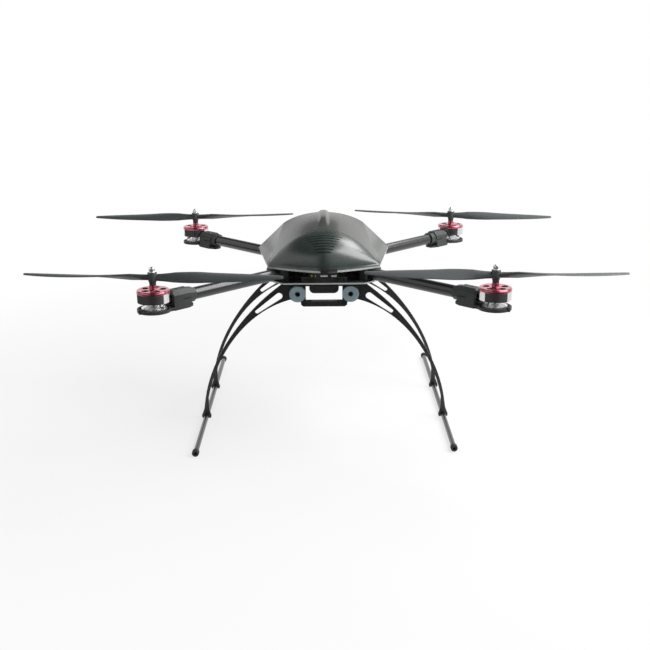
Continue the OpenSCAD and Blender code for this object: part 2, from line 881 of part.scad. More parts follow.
module prop_nut(i) {
    dome_h = 2.6;
    dome_r = nut_r * 0.82;
    color("silver")
        at_motor(i)
            difference() {
                translate([0, 0, nut_z]) {
                    cylinder(r = nut_r + 0.6, h = washer_t);
                    translate([0, 0, washer_t])
                        cylinder(r = nut_r, h = nut_h, $fn = 6);
                    translate([0, 0, washer_t + nut_h])
                        rotate_extrude()
                            polygon([
                                [0, 0], [dome_r, 0], [dome_r * 0.9, dome_h * 0.5],
                                [dome_r * 0.6, dome_h * 0.87], [0, dome_h]
                            ]);
                }
                translate([0, 0, nut_z - eps])
                    cylinder(r = shaft_d / 2 + fit, h = shaft_top - nut_z + eps + 0.2);
            }
}

// Outline of a leg, from the plate out and down to the skid
leg_steps = 22;
leg_h = leg_top - foot_z;
knee_x = skid_x * 0.63;
leg_outer = [
    [62, leg_top], [knee_x, leg_top - leg_h * 0.188],
    [skid_x - 12.5, leg_top - leg_h * 0.523], [shin_x + shin_w / 2, shin_z]
];
leg_inner = [
    [57.5, leg_top - 32], [knee_x, leg_top - leg_h * 0.218],
    [skid_x - 21.5, leg_top - leg_h * 0.515], [shin_x - shin_w / 2, shin_z]
];
leg_slot = [[74, leg_top - 25.5], [111, leg_top - 52]];
leg_slot_r = [5.5, 3];

// A plate of a leg frame's thickness, upright in the X-Z plane
module slab(t) {
    rotate([90, 0, 0])
        linear_extrude(t, center = true)
            children();
}

module leg_outline() {
    polygon(concat(
        [for (k = [0 : leg_steps]) bezier(leg_outer, k / leg_steps)],
        [[skid_x + 3.5, foot_z + 13], [skid_x + foot_r * 0.85, foot_z + 4]],
        [[skid_x - foot_r * 0.85, foot_z + 4], [skid_x - 5, foot_z + 13]],
        [for (k = [leg_steps : -1 : 0]) bezier(leg_inner, k / leg_steps)],
        [[45, leg_top - 30], [45, leg_top]]
    ));
}

module leg_slot_outline() {
    d = leg_slot[1] - leg_slot[0];
    n = [d.y, -d.x] / norm(d);
    polygon([
        leg_slot[0] + n * leg_slot_r[0], leg_slot[1] + n * leg_slot_r[1],
        leg_slot[1] - n * leg_slot_r[1], leg_slot[0] - n * leg_slot_r[0]
    ]);
}

// Middle of a leg frame, round the window
module frame_middle_outline() {
    post = 8;
    outer = window_x + post;
    polygon([
        [-62, leg_top], [62, leg_top], [62, leg_top - 8], [outer + 2, rail_z], [outer, bar_z + 3],
        [outer - 4, bar_z], [-outer + 4, bar_z], [-outer, bar_z + 3], [-outer - 2, rail_z], [-62, leg_top - 8]
    ]);
}

module leg_frame_body() {
    slab(leg_t)
        frame_middle_outline();
    for (s = [0, 1])
        mirror([s, 0, 0]) {
            slab(leg_t)
                leg_outline();
            slab(leg_t)
                translate([skid_x, foot_z])
                    circle(r = foot_r);
            slab(leg_t)
                translate([rail_x, rail_z])
                    circle(d = damper_d + 3);
        }
}

// Window, leg slots, rail holes, and the mouths of the forks over the skids
module leg_frame_cuts() {
    cut = 2 * leg_t;
    slab(cut)
        translate([-window_x, bar_z + bar_h])
            square([2 * window_x, leg_top - 8.5 - bar_z - bar_h]);
    for (s = [0, 1])
        mirror([s, 0, 0]) {
            slab(cut)
                leg_slot_outline();
            for (k = [0, 1])
                slab(cut)
                    translate(leg_slot[k])
                        circle(r = leg_slot_r[k]);
            slab(cut)
                translate([rail_x, rail_z])
                    circle(r = rod_d / 2 + fit);
            slab(cut)
                translate([skid_x, foot_z])
                    circle(r = rod_d / 2 + fit);
            slab(cut)
                translate([skid_x - rod_d / 2 + 0.6, foot_z - foot_r - eps])
                    square([rod_d - 1.2, foot_r + eps]);
            slab(cut)
                translate([skid_x - 2 * foot_r, foot_z - foot_r - eps])
                    square([4 * foot_r, foot_r + eps - rod_d / 2]);
        }
}

module leg_frame(side) {
    color([0.13, 0.13, 0.13])
        difference() {
            translate([0, side * leg_y, 0])
                difference() {
                    leg_frame_body();
                    leg_frame_cuts();
                }
            leg_screw_places(side)
                cylinder(r = screw_r + fit, h = 3 * leg_t, center = true);
        }
}

// Screws through a leg frame into the brackets and the payload bar, pointing to the middle
module leg_screw_places(side) {
    spots = [[bracket_x, leg_top - bracket / 2], [window_x + 3.5, bar_z + bar_h / 2]];
    for (p = spots, s = [-1, 1])
        translate([s * p.x, side * leg_face, p.y])
            rotate([-side * 90, 0, 0])
                children();
}

module leg_brackets() {
    color("gray")
        difference() {
            for (side = [-1, 1], s = [-1, 1])
                translate([s * bracket_x, side * (leg_y - leg_t / 2 - bracket / 2), leg_top - bracket / 2])
                    cube(bracket, center = true);
            for (side = [-1, 1])
                leg_screw_places(side)
                    cylinder(r = screw_r + fit, h = 20, center = true);
        }
}

module payload_bars() {
    half = window_x + 7;
    color([0.1, 0.1, 0.1])
        difference() {
            for (side = [-1, 1])
                translate([0, side * (leg_y - leg_t / 2 - bar_y / 2), 0])
                    rotate([90, 0, 0])
                        linear_extrude(bar_y, center = true)
                            polygon([
                                [-half, bar_z + bar_h], [half, bar_z + bar_h], [half, bar_z + 3],
                                [half - 3, bar_z], [-half + 3, bar_z], [-half, bar_z + 3]
                            ]);
            for (side = [-1, 1]) {
                leg_screw_places(side)
                    cylinder(r = screw_r + fit, h = 18, center = true);
                for (s = [-1, 1])
                    translate([s * bar_hole_x, side * (leg_y - leg_t / 2 - bar_y / 2), bar_z - eps])
                        cylinder(r = bar_hole_r, h = bar_h + 2 * eps);
            }
        }
}

// A tube along Y from one end to the other
module tube_y(r, wall, from, to) {
    translate([0, from, 0])
        rotate([-90, 0, 0])
            difference() {
                cylinder(r = r, h = to - from);
                translate([0, 0, -eps])
                    cylinder(r = r - wall, h = to - from + 2 * eps);
            }
}

module payload_rails() {
    color([0.1, 0.1, 0.1])
        for (s = [-1, 1])
            translate([s * rail_x, 0, rail_z])
                tube_y(rod_d / 2, 1.2, -rail_end, rail_end);
}

module rail_dampers() {
    bevel = 1;
    color("lightslategray")
        for (s = [-1, 1], side = [-1, 1])
            translate([s * rail_x, side * leg_face, rail_z])
                rotate([-side * 90, 0, 0])
                    rotate_extrude()
                        polygon([
                            [rod_d / 2 + fit, 0], [damper_d / 2, 0], [damper_d / 2, damper_t - bevel],
                            [damper_d / 2 - bevel, damper_t], [rod_d / 2 + fit, damper_t]
                        ]);
}

function skid_shift(s) = skid_shifts[s < 0 ? 0 : 1];

module skid(s) {
    color([0.1, 0.1, 0.1])
        translate([s * skid_x, skid_shift(s), foot_z])
            tube_y(rod_d / 2, 1, -skid_l / 2, skid_l / 2);
}

module skid_caps() {
    cap_l = 9;
    end_t = 2.5;
    hole_r = 2.2;
    color([0.06, 0.06, 0.06])
        for (s = [-1, 1], side = [-1, 1])
            translate([s * skid_x, skid_shift(s) + side * (skid_l / 2 + end_t), foot_z])
                rotate([side * 90, 0, 0])
                    rotate_extrude()
                        polygon([
                            [hole_r, 0], [cap_d / 2 - 0.8, 0], [cap_d / 2, 0.8], [cap_d / 2, cap_l],
                            [rod_d / 2 + fit, cap_l], [rod_d / 2 + fit, end_t], [hole_r, end_t]
                        ]);
}

module battery_outline(grow) {
    w = battery_w / 2 + grow;
    r = battery_r + grow;
    low = bottom_z - battery_h - grow - 0.1;
    for (s = [-1, 1])
        translate([s * (w - r), low + r])
            circle(r = r);
    translate([-w, low + r])
        square([2 * w, bottom_z - 0.1 - low - r]);
    translate([-w + r, low])
        square([2 * (w - r), r + 0.5]);
}

module battery() {
    color([0.07, 0.07, 0.08])
        rotate([90, 0, 0])
            linear_extrude(battery_l, center = true)
                battery_outline(0);
}

module battery_strap() {
    gap = 0.15;
    w = battery_w / 2 + gap;
    color([0.2, 0.2, 0.22])
        rotate([90, 0, 0])
            linear_extrude(strap_w, center = true)
                difference() {
                    union() {
                        battery_outline(gap + strap_t);
                        translate([-w - strap_t, bottom_z - eps])
                            square([2 * (w + strap_t), bottom_t + eps + gap + strap_t]);
                    }
                    battery_outline(gap);
                    translate([-w, bottom_z - eps])
                        square([2 * w, bottom_t + eps + gap]);
                }
}

// A circuit board on four posts from the bottom plate
module board(w, l, z) {
    inset = 3.5;
    posts = [for (x = [-1, 1], y = [-1, 1]) [x * (w / 2 - inset), y * (l / 2 - inset)]];
    translate([0, 0, z + board_t / 2])
        cube([w, l, board_t], center = true);
    for (p = posts)
        translate([p.x, p.y, bottom_top])
            cylinder(r = 2.2, h = z - bottom_top + board_t / 2);
}

module speed_controller() {
    chip_h = 3;
    color("darkslategray") {
        board(esc_w, esc_w, board_z);
        for (i = [0 : 3], s = [-1, 1])
            rotate([0, 0, arm_angle(i) + 45])
                translate([s * 6, esc_w / 2 - 12, board_z + board_t + chip_h / 2 - 0.2])
                    cube([8, 10, chip_h], center = true);
    }
}

module power_board() {
    can_r = 4.5;
    can_x = 29;
    can_h = 9;
    color("darkolivegreen")
        translate([0, -power_front + power_l / 2, 0]) {
            board(power_w, power_l, power_z);
            for (s = [-1, 1])
                translate([s * can_x, 4, power_z + board_t / 2])
                    cylinder(r = can_r, h = can_h);
        }
}

module board_connectors() {
    color("white")
        for (c = connectors)
            translate([c[0] - c[1] / 2, -power_front + 1, power_z + board_t])
                cube([c[1], 7, connector_h]);
}

// A plug's two sleeved contacts, side by side
module power_plug() {
    sleeve = [2.2, 9, 3.6];
    places = [-19.5, -14];
    color("gold")
        for (x = places)
            translate([x - sleeve.x / 2, -power_front + 1.5, power_z + board_t])
                cube(sleeve);
}

module flight_controller() {
    color([0.1, 0.1, 0.11])
        translate([0, 0, rim_z]) {
            translate([0, 8, 8])
                cube([38, 58, 16], center = true);
            translate([0, 8, 16.4])
                cube([30, 48, 2], center = true);
        }
}

module receiver() {
    color([0.15, 0.15, 0.15])
        translate([50, 10, rim_z + 6])
            cube([24, 44, 12], center = true);
}

module gps_module() {
    mast_y = 66;
    mast_h = 26;
    color([0.12, 0.12, 0.12])
        translate([0, mast_y, rim_z]) {
            cylinder(r = 12, h = 2);
            cylinder(r = 3, h = mast_h);
            translate([0, 0, mast_h - 1])
                cylinder(r = 22, h = 10);
        }
}

module frame_screws() {
    color([0.25, 0.25, 0.25]) {
        for (p = standoffs) {
            translate([p.x, p.y, rim_z])
                cap_screw(top_t + 5);
            translate([p.x, p.y, bottom_z])
                mirror([0, 0, 1])
                    cap_screw(bottom_t + 5);
        }
        for (i = [0 : 3])
            rotate([0, 0, arm_angle(i)])
                clamp_screw_places() {
                    translate([0, 0, rim_z])
                        cap_screw(top_t + 6);
                    translate([0, 0, bottom_z])
                        mirror([0, 0, 1])
                            cap_screw(bottom_t + 6);
                }
        for (side = [-1, 1])
            leg_screw_places(side)
                cap_screw(leg_t + 5);
    }
}

module skin(rows, points, y0) {
    cols = len(points) / rows;
    inner = [for (p = points) shrunk(p, y0, canopy_wall / front_corner_x)];
    translate([0, 0, rim_z])
        polyhedron(concat(inner, points), skin_faces(rows, cols));
}

module canopy_shell() {
    last = hood_steps + facet_steps + tail_steps;
    points = [for (row = [0 : last], u = columns) with_spine(hood_point(row, u))];
    color("gray")
        skin(last + 1, points, hood_scale_y);
}

// A slot square to the visor at its middle; the lower ones are narrower
vent_rows = [0.265, 0.69];
vent_taper = 0.36;
vent_depth = 24;

module vent(k) {
    f = k / max(1, vents - 1);
    w = mix(vent_rows[0], vent_rows[1], f);
    p = visor_point(w, 0);
    d = visor_point(w - 0.02, 0) - visor_point(w + 0.02, 0);
    translate([0, p.y, rim_z + p.z])
        rotate([atan2(d.z, d.y) - 90, 0, 0])
            cube([mix(vent_w, vent_w * vent_taper, f), vent_depth, vent_h], center = true);
}

module canopy_visor() {
    k = visor_inset / front_corner_x;
    points = [for (row = [visor_steps : -1 : 0], u = columns)
        if (abs(u) <= roof_share)
            shrunk(visor_point(mix(visor_seam, 1, row / visor_steps), u / roof_share), hood_scale_y, k)];
    color([0.2, 0.23, 0.22])
        difference() {
            skin(visor_steps + 1, points, hood_scale_y);
            for (n = [0 : vents - 1])
                vent(n);
        }
}

// Tongue from the visor's foot down over the top plate's front edge, a little to the right
latch_from = -5.3;
latch_to = 20.6;
latch_steps = 6;
function latch_edge(out) = [for (k = [0 : latch_steps])
    let (p = nose_bow(mix(latch_from, latch_to, k / latch_steps) / front_corner_x))
    p * (1 + out / norm(p))];
function reversed(list) = [for (k = [len(list) - 1 : -1 : 0]) list[k]];

module latch_slab(from, to, z, h) {
    translate([0, 0, z])
        linear_extrude(h)
            polygon(concat(latch_edge(from), reversed(latch_edge(to))));
}

module canopy_latch() {
    tongue_t = 2;
    tongue_h = 2.5;
    foot_t = 2;
    back = plate_lip + 0.4;
    foot_bottom = rim_z + 0.3;
    color([0.05, 0.05, 0.05]) {
        latch_slab(-visor_inset, back + tongue_t, foot_bottom, foot_t);
        latch_slab(back, back + tongue_t, foot_bottom + foot_t - tongue_h - top_t, tongue_h + top_t);
    }
}

bottom_plate();
top_plate();
plate_standoffs();
arm_clamps();
arm(0);  // arm_front_left
arm(1);  // arm_front_right
arm(2);  // arm_rear_left
arm(3);  // arm_rear_right
motor_mount(0);  // motor_mount_front_left
motor_mount(1);  // motor_mount_front_right
motor_mount(2);  // motor_mount_rear_left
motor_mount(3);  // motor_mount_rear_right
motor_bases();
stator_cores();
stator_coils();
motor_bearings();
motor_leads();
mount_screws();
motor_cap(0);  // motor_cap_front_left
motor_cap(1);  // motor_cap_front_right
motor_cap(2);  // motor_cap_rear_left
motor_cap(3);  // motor_cap_rear_right
flux_ring(0);  // flux_ring_front_left
flux_ring(1);  // flux_ring_front_right
flux_ring(2);  // flux_ring_rear_left
flux_ring(3);  // flux_ring_rear_right
motor_shaft(0);  // motor_shaft_front_left
motor_shaft(1);  // motor_shaft_front_right
motor_shaft(2);  // motor_shaft_rear_left
motor_shaft(3);  // motor_shaft_rear_right
propeller(0);  // propeller_front_left
propeller(1);  // propeller_front_right
propeller(2);  // propeller_rear_left
propeller(3);  // propeller_rear_right
prop_nut(0);  // prop_nut_front_left
prop_nut(1);  // prop_nut_front_right
prop_nut(2);  // prop_nut_rear_left
prop_nut(3);  // prop_nut_rear_right
leg_frame(-1);  // front_leg_frame
leg_frame(1);  // rear_leg_frame
leg_brackets();
payload_bars();
payload_rails();
rail_dampers();
skid(-1);  // left_skid
skid(1);  // right_skid
skid_caps();
battery();
battery_strap();
speed_controller();
power_board();
board_connectors();
power_plug();
flight_controller();
receiver();
gps_module();
frame_screws();
canopy_shell();
canopy_visor();
canopy_latch();
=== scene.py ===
import json
import math

import bmesh
import bpy
from mathutils import Matrix, Vector


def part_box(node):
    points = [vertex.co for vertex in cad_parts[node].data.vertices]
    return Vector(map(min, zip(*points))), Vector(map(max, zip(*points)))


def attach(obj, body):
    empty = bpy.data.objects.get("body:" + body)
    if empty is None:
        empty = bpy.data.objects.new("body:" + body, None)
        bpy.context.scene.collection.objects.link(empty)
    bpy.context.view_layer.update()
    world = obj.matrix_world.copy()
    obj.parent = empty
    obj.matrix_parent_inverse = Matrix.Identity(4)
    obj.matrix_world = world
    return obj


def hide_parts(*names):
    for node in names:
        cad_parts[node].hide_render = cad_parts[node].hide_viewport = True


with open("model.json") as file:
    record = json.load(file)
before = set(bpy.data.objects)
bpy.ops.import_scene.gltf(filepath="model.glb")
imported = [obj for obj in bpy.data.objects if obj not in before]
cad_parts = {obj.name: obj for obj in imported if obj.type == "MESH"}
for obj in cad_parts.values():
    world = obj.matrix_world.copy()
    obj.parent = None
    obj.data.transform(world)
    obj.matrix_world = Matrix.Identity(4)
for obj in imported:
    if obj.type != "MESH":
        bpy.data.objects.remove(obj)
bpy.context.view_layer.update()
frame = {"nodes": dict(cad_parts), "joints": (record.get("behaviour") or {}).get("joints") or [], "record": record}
NODES = frame["nodes"]
MM = 0.001
X_AXIS, Y_AXIS, Z_AXIS = (1, 0, 0), (0, 1, 0), (0, 0, 1)

# Places that the frame gives, in metres
CORNERS = ("front_left", "front_right", "rear_left", "rear_right")
SPIN = {c: Vector(j["pos_m"]) for j in frame["joints"] for c in CORNERS if j["name"] == "spin_" + c}
AXIS = {c: Vector((SPIN[c].x, SPIN[c].y, 0.0)) for c in CORNERS}
MOTOR_OFFSET = SPIN["front_right"].x
RIM_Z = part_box("top_plate")[1].z


# Shader helpers
def put(tree, target, value):
    """Links a socket to another one, or gives it a value."""
    if isinstance(value, bpy.types.NodeSocket):
        tree.links.new(value, target)
    elif target.type == "RGBA":
        target.default_value = (*value, 1.0)
    else:
        target.default_value = value


def add_node(tree, kind, inputs, **settings):
    node = tree.nodes.new("ShaderNode" + kind)
    for name, value in settings.items():
        setattr(node, name, value)
    for key, value in inputs.items():
        put(tree, node.inputs[key], value)
    return node


class Finish:
    """One material: a Principled shader, and short ways to feed its sockets."""

    def __init__(self, name, **constants):
        self.material = bpy.data.materials.new(name)
        self.material.use_nodes = True
        self.tree = self.material.node_tree
        self.shader = self.tree.nodes["Principled BSDF"]
        for socket, value in constants.items():
            self.feed(socket.replace("_", " "), value)

    def feed(self, socket, value):
        put(self.tree, self.shader.inputs[socket], value)

    def node(self, kind, inputs, **settings):
        return add_node(self.tree, kind, inputs, **settings)

    def math(self, operation, a, b=0.0):
        return self.node("Math", {0: a, 1: b}, operation=operation).outputs[0]

    def place(self):
        return self.node("TexCoord", {}).outputs["Object"]

    def along(self, direction, unit):
        """How far along a direction a point lies, in that unit."""
        step = tuple(Vector(direction).normalized() / unit)
        return self.node("VectorMath", {0: self.place(), 1: step}, operation="DOT_PRODUCT").outputs["Value"]

    def from_motor(self):
        """Distance from the nearest motor's axis."""
        folded = self.node("VectorMath", {0: self.place()}, operation="ABSOLUTE").outputs[0]
        middle = (MOTOR_OFFSET, MOTOR_OFFSET, 0.0)
        out = self.node("VectorMath", {0: folded, 1: middle}, operation="SUBTRACT").outputs[0]
        flat = self.node("VectorMath", {0: out, 1: (1.0, 1.0, 0.0)}, operation="MULTIPLY").outputs[0]
        return self.node("VectorMath", {0: flat}, operation="LENGTH").outputs["Value"]

    def noise(self, size, detail=3.0, stretch=(1.0, 1.0, 1.0)):
        """Cloudy pattern from 0 to 1 whose features have that size."""
        point = self.node("Mapping", {"Vector": self.place(), "Scale": stretch}).outputs[0]
        return self.node("TexNoise", {"Vector": point, "Scale": 1 / size, "Detail": detail}).outputs[0]

    def remap(self, value, low, high, start=0.0, end=1.0):
        ends = {"Value": value, "From Min": start, "From Max": end, "To Min": low, "To Max": high}
        return self.node("MapRange", ends).outputs[0]

    def blend(self, factor, a, b):
        return self.node("Mix", {0: factor, 6: a, 7: b}, data_type="RGBA").outputs[2]

    def ripple(self, value):
        """Even waves from 0 to 1, one for each unit of the value."""
        return self.remap(self.math("SINE", self.math("MULTIPLY", value, math.tau)), 0.0, 1.0, -1.0, 1.0)

    def facing(self, direction, start=0.4, end=0.6):
        """1 where a face looks along a direction or against it, 0 where it stands square to it."""
        normal = self.node("NewGeometry", {}).outputs["Normal"]
        dot = self.node("VectorMath", {0: normal, 1: direction}, operation="DOT_PRODUCT").outputs["Value"]
        return self.remap(self.math("ABSOLUTE", dot), 0.0, 1.0, start, end)

    def tone(self, factor, dark, light):
        self.feed("Base Color", self.blend(factor, dark, light))

    def gloss(self, factor, low, high):
        self.feed("Roughness", self.remap(factor, low, high))

    def relief(self, height, depth, strength=1.0):
        bump = self.node("Bump", {"Height": height, "Strength": strength, "Distance": depth})
        self.feed("Normal", bump.outputs[0])


def crown(look, value):
    """Round top of each tow: 0 at its edges and 1 in its middle."""
    side = look.math("SUBTRACT", look.math("MULTIPLY", look.math("FRACT", value), 2.0), 1.0)
    return look.math("SUBTRACT", 1.0, look.math("MULTIPLY", side, side))


def twill(look, along, across, tow):
    """Two-by-two twill: which set of tows is on top, and how high the cloth stands."""
    u, v = look.along(along, tow), look.along(across, tow)
    diagonal = look.math("ADD", look.math("FLOOR", u), look.math("FLOOR", v))
    over = look.math("LESS_THAN", look.math("FLOORED_MODULO", diagonal, 4.0), 2.0)
    under = look.math("SUBTRACT", 1.0, over)
    first = look.math("MULTIPLY", over, crown(look, u))
    second = look.math("MULTIPLY", under, crown(look, v))
    return over, look.math("ADD", first, second)


# Widths of the carbon tows and the strap's yarns
PLATE_TOW, TUBE_TOW, WEBBING_TOW = 2.2 * MM, 1.0 * MM, 1.3 * MM
# Spacing of the circuit board's pads, and a pad's reach as a share of it
PAD_PITCH, PAD_SHARE = 3.2 * MM, 0.28


# Finishes, one for each slot
def carbon_plate():
    look = Finish("carbon_plate", Coat_Weight=0.2, Coat_Roughness=0.2)
    over, height = twill(look, X_AXIS, Y_AXIS, PLATE_TOW)
    cloth = look.blend(over, (0.030, 0.031, 0.032), (0.055, 0.056, 0.057))
    # Faces square to Z, the plate's cut edges, are pale grey: partly the cut edge's own colour, partly a painted
    # highlight along it.
    look.feed("Base Color", look.blend(look.facing(Z_AXIS), (0.46, 0.48, 0.465), cloth))
    look.gloss(over, 0.30, 0.42)
    look.relief(height, 0.05 * MM)
    return look


def carbon_tube():
    look = Finish("carbon_tube", Coat_Weight=0.5, Coat_Roughness=0.14, Specular_IOR_Level=0.3)
    over = twill(look, (1, 1, 0), (1, -1, 1), TUBE_TOW)[0]
    look.tone(over, (0.010, 0.011, 0.011), (0.016, 0.018, 0.018))
    look.gloss(look.noise(20 * MM), 0.26, 0.30)
    return look


def mount_nylon():
    look = Finish("mount_nylon", Specular_IOR_Level=0.45)
    grain = look.noise(0.7 * MM, 4.0)
    look.tone(look.noise(9 * MM), (0.030, 0.032, 0.033), (0.044, 0.046, 0.047))
    look.gloss(grain, 0.42, 0.58)
    look.relief(grain, 0.12 * MM, 0.6)
    return look


def leg_carbon():
    look = Finish("leg_carbon", Coat_Weight=0.15, Coat_Roughness=0.25)
    over, height = twill(look, X_AXIS, Z_AXIS, PLATE_TOW)
    cloth = look.blend(over, (0.014, 0.016, 0.015), (0.021, 0.023, 0.022))
    # Faces square to Y, the cut edges of the leg plates, are paler than the cloth: partly the cut carbon's own
    # colour, partly a painted highlight along them.
    look.feed("Base Color", look.blend(look.facing(Y_AXIS), (0.090, 0.094, 0.090), cloth))
    look.gloss(look.facing(Z_AXIS), 0.38, 0.12)
    look.relief(height, 0.04 * MM)
    return look


def bare_aluminium():
    look = Finish("bare_aluminium", Metallic=0.8)
    rings = look.ripple(look.math("DIVIDE", look.from_motor(), 0.5 * MM))
    look.tone(look.noise(4 * MM), (0.88, 0.88, 0.89), (0.95, 0.95, 0.96))
    look.gloss(rings, 0.22, 0.30)
    look.relief(rings, 0.01 * MM, 0.5)
    return look


def red_anodised():
    look = Finish("red_anodised", Metallic=1.0, Coat_Weight=0.9, Coat_Roughness=0.2)
    rings = look.ripple(look.math("DIVIDE", look.from_motor(), 0.4 * MM))
    look.tone(look.noise(6 * MM), (0.50, 0.085, 0.135), (0.60, 0.115, 0.170))
    look.gloss(rings, 0.26, 0.36)
    look.relief(rings, 0.01 * MM, 0.5)
    return look


def flux_steel():
    look = Finish("flux_steel", Metallic=1.0)
    look.tone(look.noise(5 * MM), (0.66, 0.66, 0.67), (0.76, 0.76, 0.77))
    look.gloss(look.noise(0.6 * MM, 2.0, (1.0, 1.0, 0.1)), 0.05, 0.12)
    return look


def shaft_steel():
    look = Finish("shaft_steel", Metallic=1.0)
    look.tone(look.noise(3 * MM), (0.52, 0.52, 0.53), (0.64, 0.64, 0.65))
    look.gloss(look.ripple(look.along(Z_AXIS, 0.3 * MM)), 0.14, 0.24)
    return look


def stator_steel():
    look = Finish("stator_steel", Metallic=1.0)
    sheets = look.ripple(look.along(Z_AXIS, 0.5 * MM))
    look.tone(sheets, (0.16, 0.16, 0.17), (0.34, 0.34, 0.35))
    look.gloss(sheets, 0.35, 0.5)
    look.relief(sheets, 0.05 * MM)
    return look


def copper():
    look = Finish("copper", Metallic=1.0)
    turns = look.ripple(look.along(Z_AXIS, 0.8 * MM))
    # The winding is darker between its turns: painted shade in the grooves.
    look.tone(turns, (0.36, 0.12, 0.05), (0.72, 0.30, 0.14))
    look.gloss(turns, 0.25, 0.4)
    look.relief(turns, 0.2 * MM)
    return look


def lead_insulation():
    look = Finish("lead_insulation")
    skin = look.noise(1.5 * MM)
    look.tone(skin, (0.085, 0.085, 0.035), (0.130, 0.125, 0.055))
    look.gloss(skin, 0.4, 0.55)
    return look


def screw_black():
    look = Finish("screw_black", Metallic=0.7)
    grain = look.noise(0.5 * MM)
    look.tone(grain, (0.030, 0.030, 0.031), (0.060, 0.060, 0.061))
    look.gloss(grain, 0.28, 0.42)
    return look


def blade_nylon():
    look = Finish("blade_nylon", Specular_IOR_Level=0.5)
    fibres = look.noise(1.2 * MM, 4.0)
    look.tone(look.noise(14 * MM), (0.042, 0.049, 0.050), (0.052, 0.060, 0.061))
    look.gloss(fibres, 0.46, 0.54)
    look.relief(fibres, 0.005 * MM, 0.5)
    return look


def damper_rubber():
    look = Finish("damper_rubber", Specular_IOR_Level=0.4)
    grain = look.noise(0.9 * MM)
    look.tone(look.noise(8 * MM), (0.22, 0.295, 0.335), (0.29, 0.38, 0.43))
    look.gloss(grain, 0.42, 0.56)
    look.relief(grain, 0.05 * MM, 0.5)
    return look


def cap_rubber():
    look = Finish("cap_rubber")
    grain = look.noise(0.8 * MM)
    look.tone(grain, (0.014, 0.014, 0.014), (0.026, 0.026, 0.026))
    look.gloss(grain, 0.6, 0.75)
    look.relief(grain, 0.06 * MM, 0.6)
    return look


def battery_wrap():
    look = Finish("battery_wrap", Coat_Weight=0.5, Coat_Roughness=0.1)
    creases = look.noise(16 * MM, 2.0, (1.0, 0.4, 1.6))
    # The wrap is darker where its creases lie low: painted shade in the creases.
    look.tone(creases, (0.030, 0.032, 0.032), (0.042, 0.044, 0.044))
    look.gloss(creases, 0.30, 0.42)
    look.relief(creases, 1.2 * MM, 0.5)
    return look


def strap_webbing():
    look = Finish("strap_webbing", Specular_IOR_Level=0.2)
    over, height = twill(look, Y_AXIS, (1, 0, 1), WEBBING_TOW)
    # The webbing is darker where it stands low between its yarns: painted shade in the grooves.
    look.tone(height, (0.012, 0.012, 0.013), (0.040, 0.040, 0.042))
    look.gloss(over, 0.75, 0.88)
    look.relief(height, 0.3 * MM)
    return look


def circuit_board():
    look = Finish("circuit_board", Coat_Weight=0.3, Coat_Roughness=0.2)
    cells = {"Vector": look.place(), "Scale": 1 / PAD_PITCH}
    from_pad = look.node("TexVoronoi", cells, distance="MANHATTAN").outputs["Distance"]
    pads = look.math("LESS_THAN", from_pad, PAD_SHARE)
    mask = look.blend(look.noise(2.5 * MM, 1.0), (0.018, 0.027, 0.017), (0.032, 0.044, 0.029))
    look.feed("Base Color", look.blend(pads, mask, (0.17, 0.15, 0.08)))
    look.gloss(pads, 0.45, 0.3)
    look.relief(pads, 0.05 * MM)
    return look


def moulded(name, dark, light, rough):
    """Plain moulded plastic: a faint mottle and a fine grain."""
    look = Finish(name, Specular_IOR_Level=0.45)
    grain = look.noise(0.8 * MM)
    look.tone(look.noise(7 * MM), dark, light)
    look.gloss(grain, rough, rough + 0.12)
    look.relief(grain, 0.05 * MM, 0.5)
    return look


def white_nylon():
    return moulded("white_nylon", (0.87, 0.88, 0.86), (0.93, 0.94, 0.92), 0.36)


def yellow_nylon():
    return moulded("yellow_nylon", (0.44, 0.33, 0.06), (0.56, 0.43, 0.10), 0.38)


def case_plastic():
    return moulded("case_plastic", (0.022, 0.022, 0.024), (0.034, 0.034, 0.036), 0.48)


def latch_black():
    return moulded("latch_black", (0.012, 0.012, 0.012), (0.020, 0.020, 0.020), 0.40)


def canopy_grey():
    look = Finish("canopy_grey", Specular_IOR_Level=0.45, Coat_Weight=0.2, Coat_Roughness=0.12)
    flakes = look.noise(0.6 * MM, 2.0)
    look.tone(look.noise(40 * MM), (0.064, 0.068, 0.063), (0.077, 0.081, 0.076))
    look.gloss(flakes, 0.22, 0.30)
    look.relief(look.noise(1.2 * MM, 2.0), 0.01 * MM, 0.5)
    return look


def visor_smoke():
    look = Finish("visor_smoke", Specular_IOR_Level=0.75)
    look.tone(look.noise(30 * MM), (0.030, 0.042, 0.038), (0.040, 0.053, 0.048))
    look.gloss(look.noise(26 * MM), 0.24, 0.31)
    return look


FINISHES = {make.__name__: make().material for make in (
    carbon_plate, carbon_tube, mount_nylon, leg_carbon, bare_aluminium, red_anodised, flux_steel, shaft_steel,
    stator_steel, copper, lead_insulation, screw_black, blade_nylon, damper_rubber, cap_rubber, battery_wrap,
    strap_webbing, circuit_board, white_nylon, yellow_nylon, case_plastic, canopy_grey, visor_smoke,
    latch_black)}


# Mesh helpers
def mix(a, b, t):
    return a + (b - a) * t


def ease(t):
    t = min(1.0, max(0.0, t))
    return t * t * (3.0 - 2.0 * t)


def steps(count):
    """Even steps from 0 to 1, both ends included."""
    return [k / count for k in range(count + 1)]


def new_piece(name, verts, faces, slot, body, *nodes):
    """A smooth mesh in metres that rides on a body and stands for the nodes."""
    mesh = bpy.data.meshes.new(name)
    mesh.from_pydata([tuple(v) for v in verts], [], faces)
    mesh.validate()
    mesh.shade_smooth()
    obj = bpy.data.objects.new(name, mesh)
    bpy.context.collection.objects.link(obj)
    mesh.materials.append(FINISHES[slot])
    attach(obj, body)
    if nodes:
        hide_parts(*nodes)
    return obj


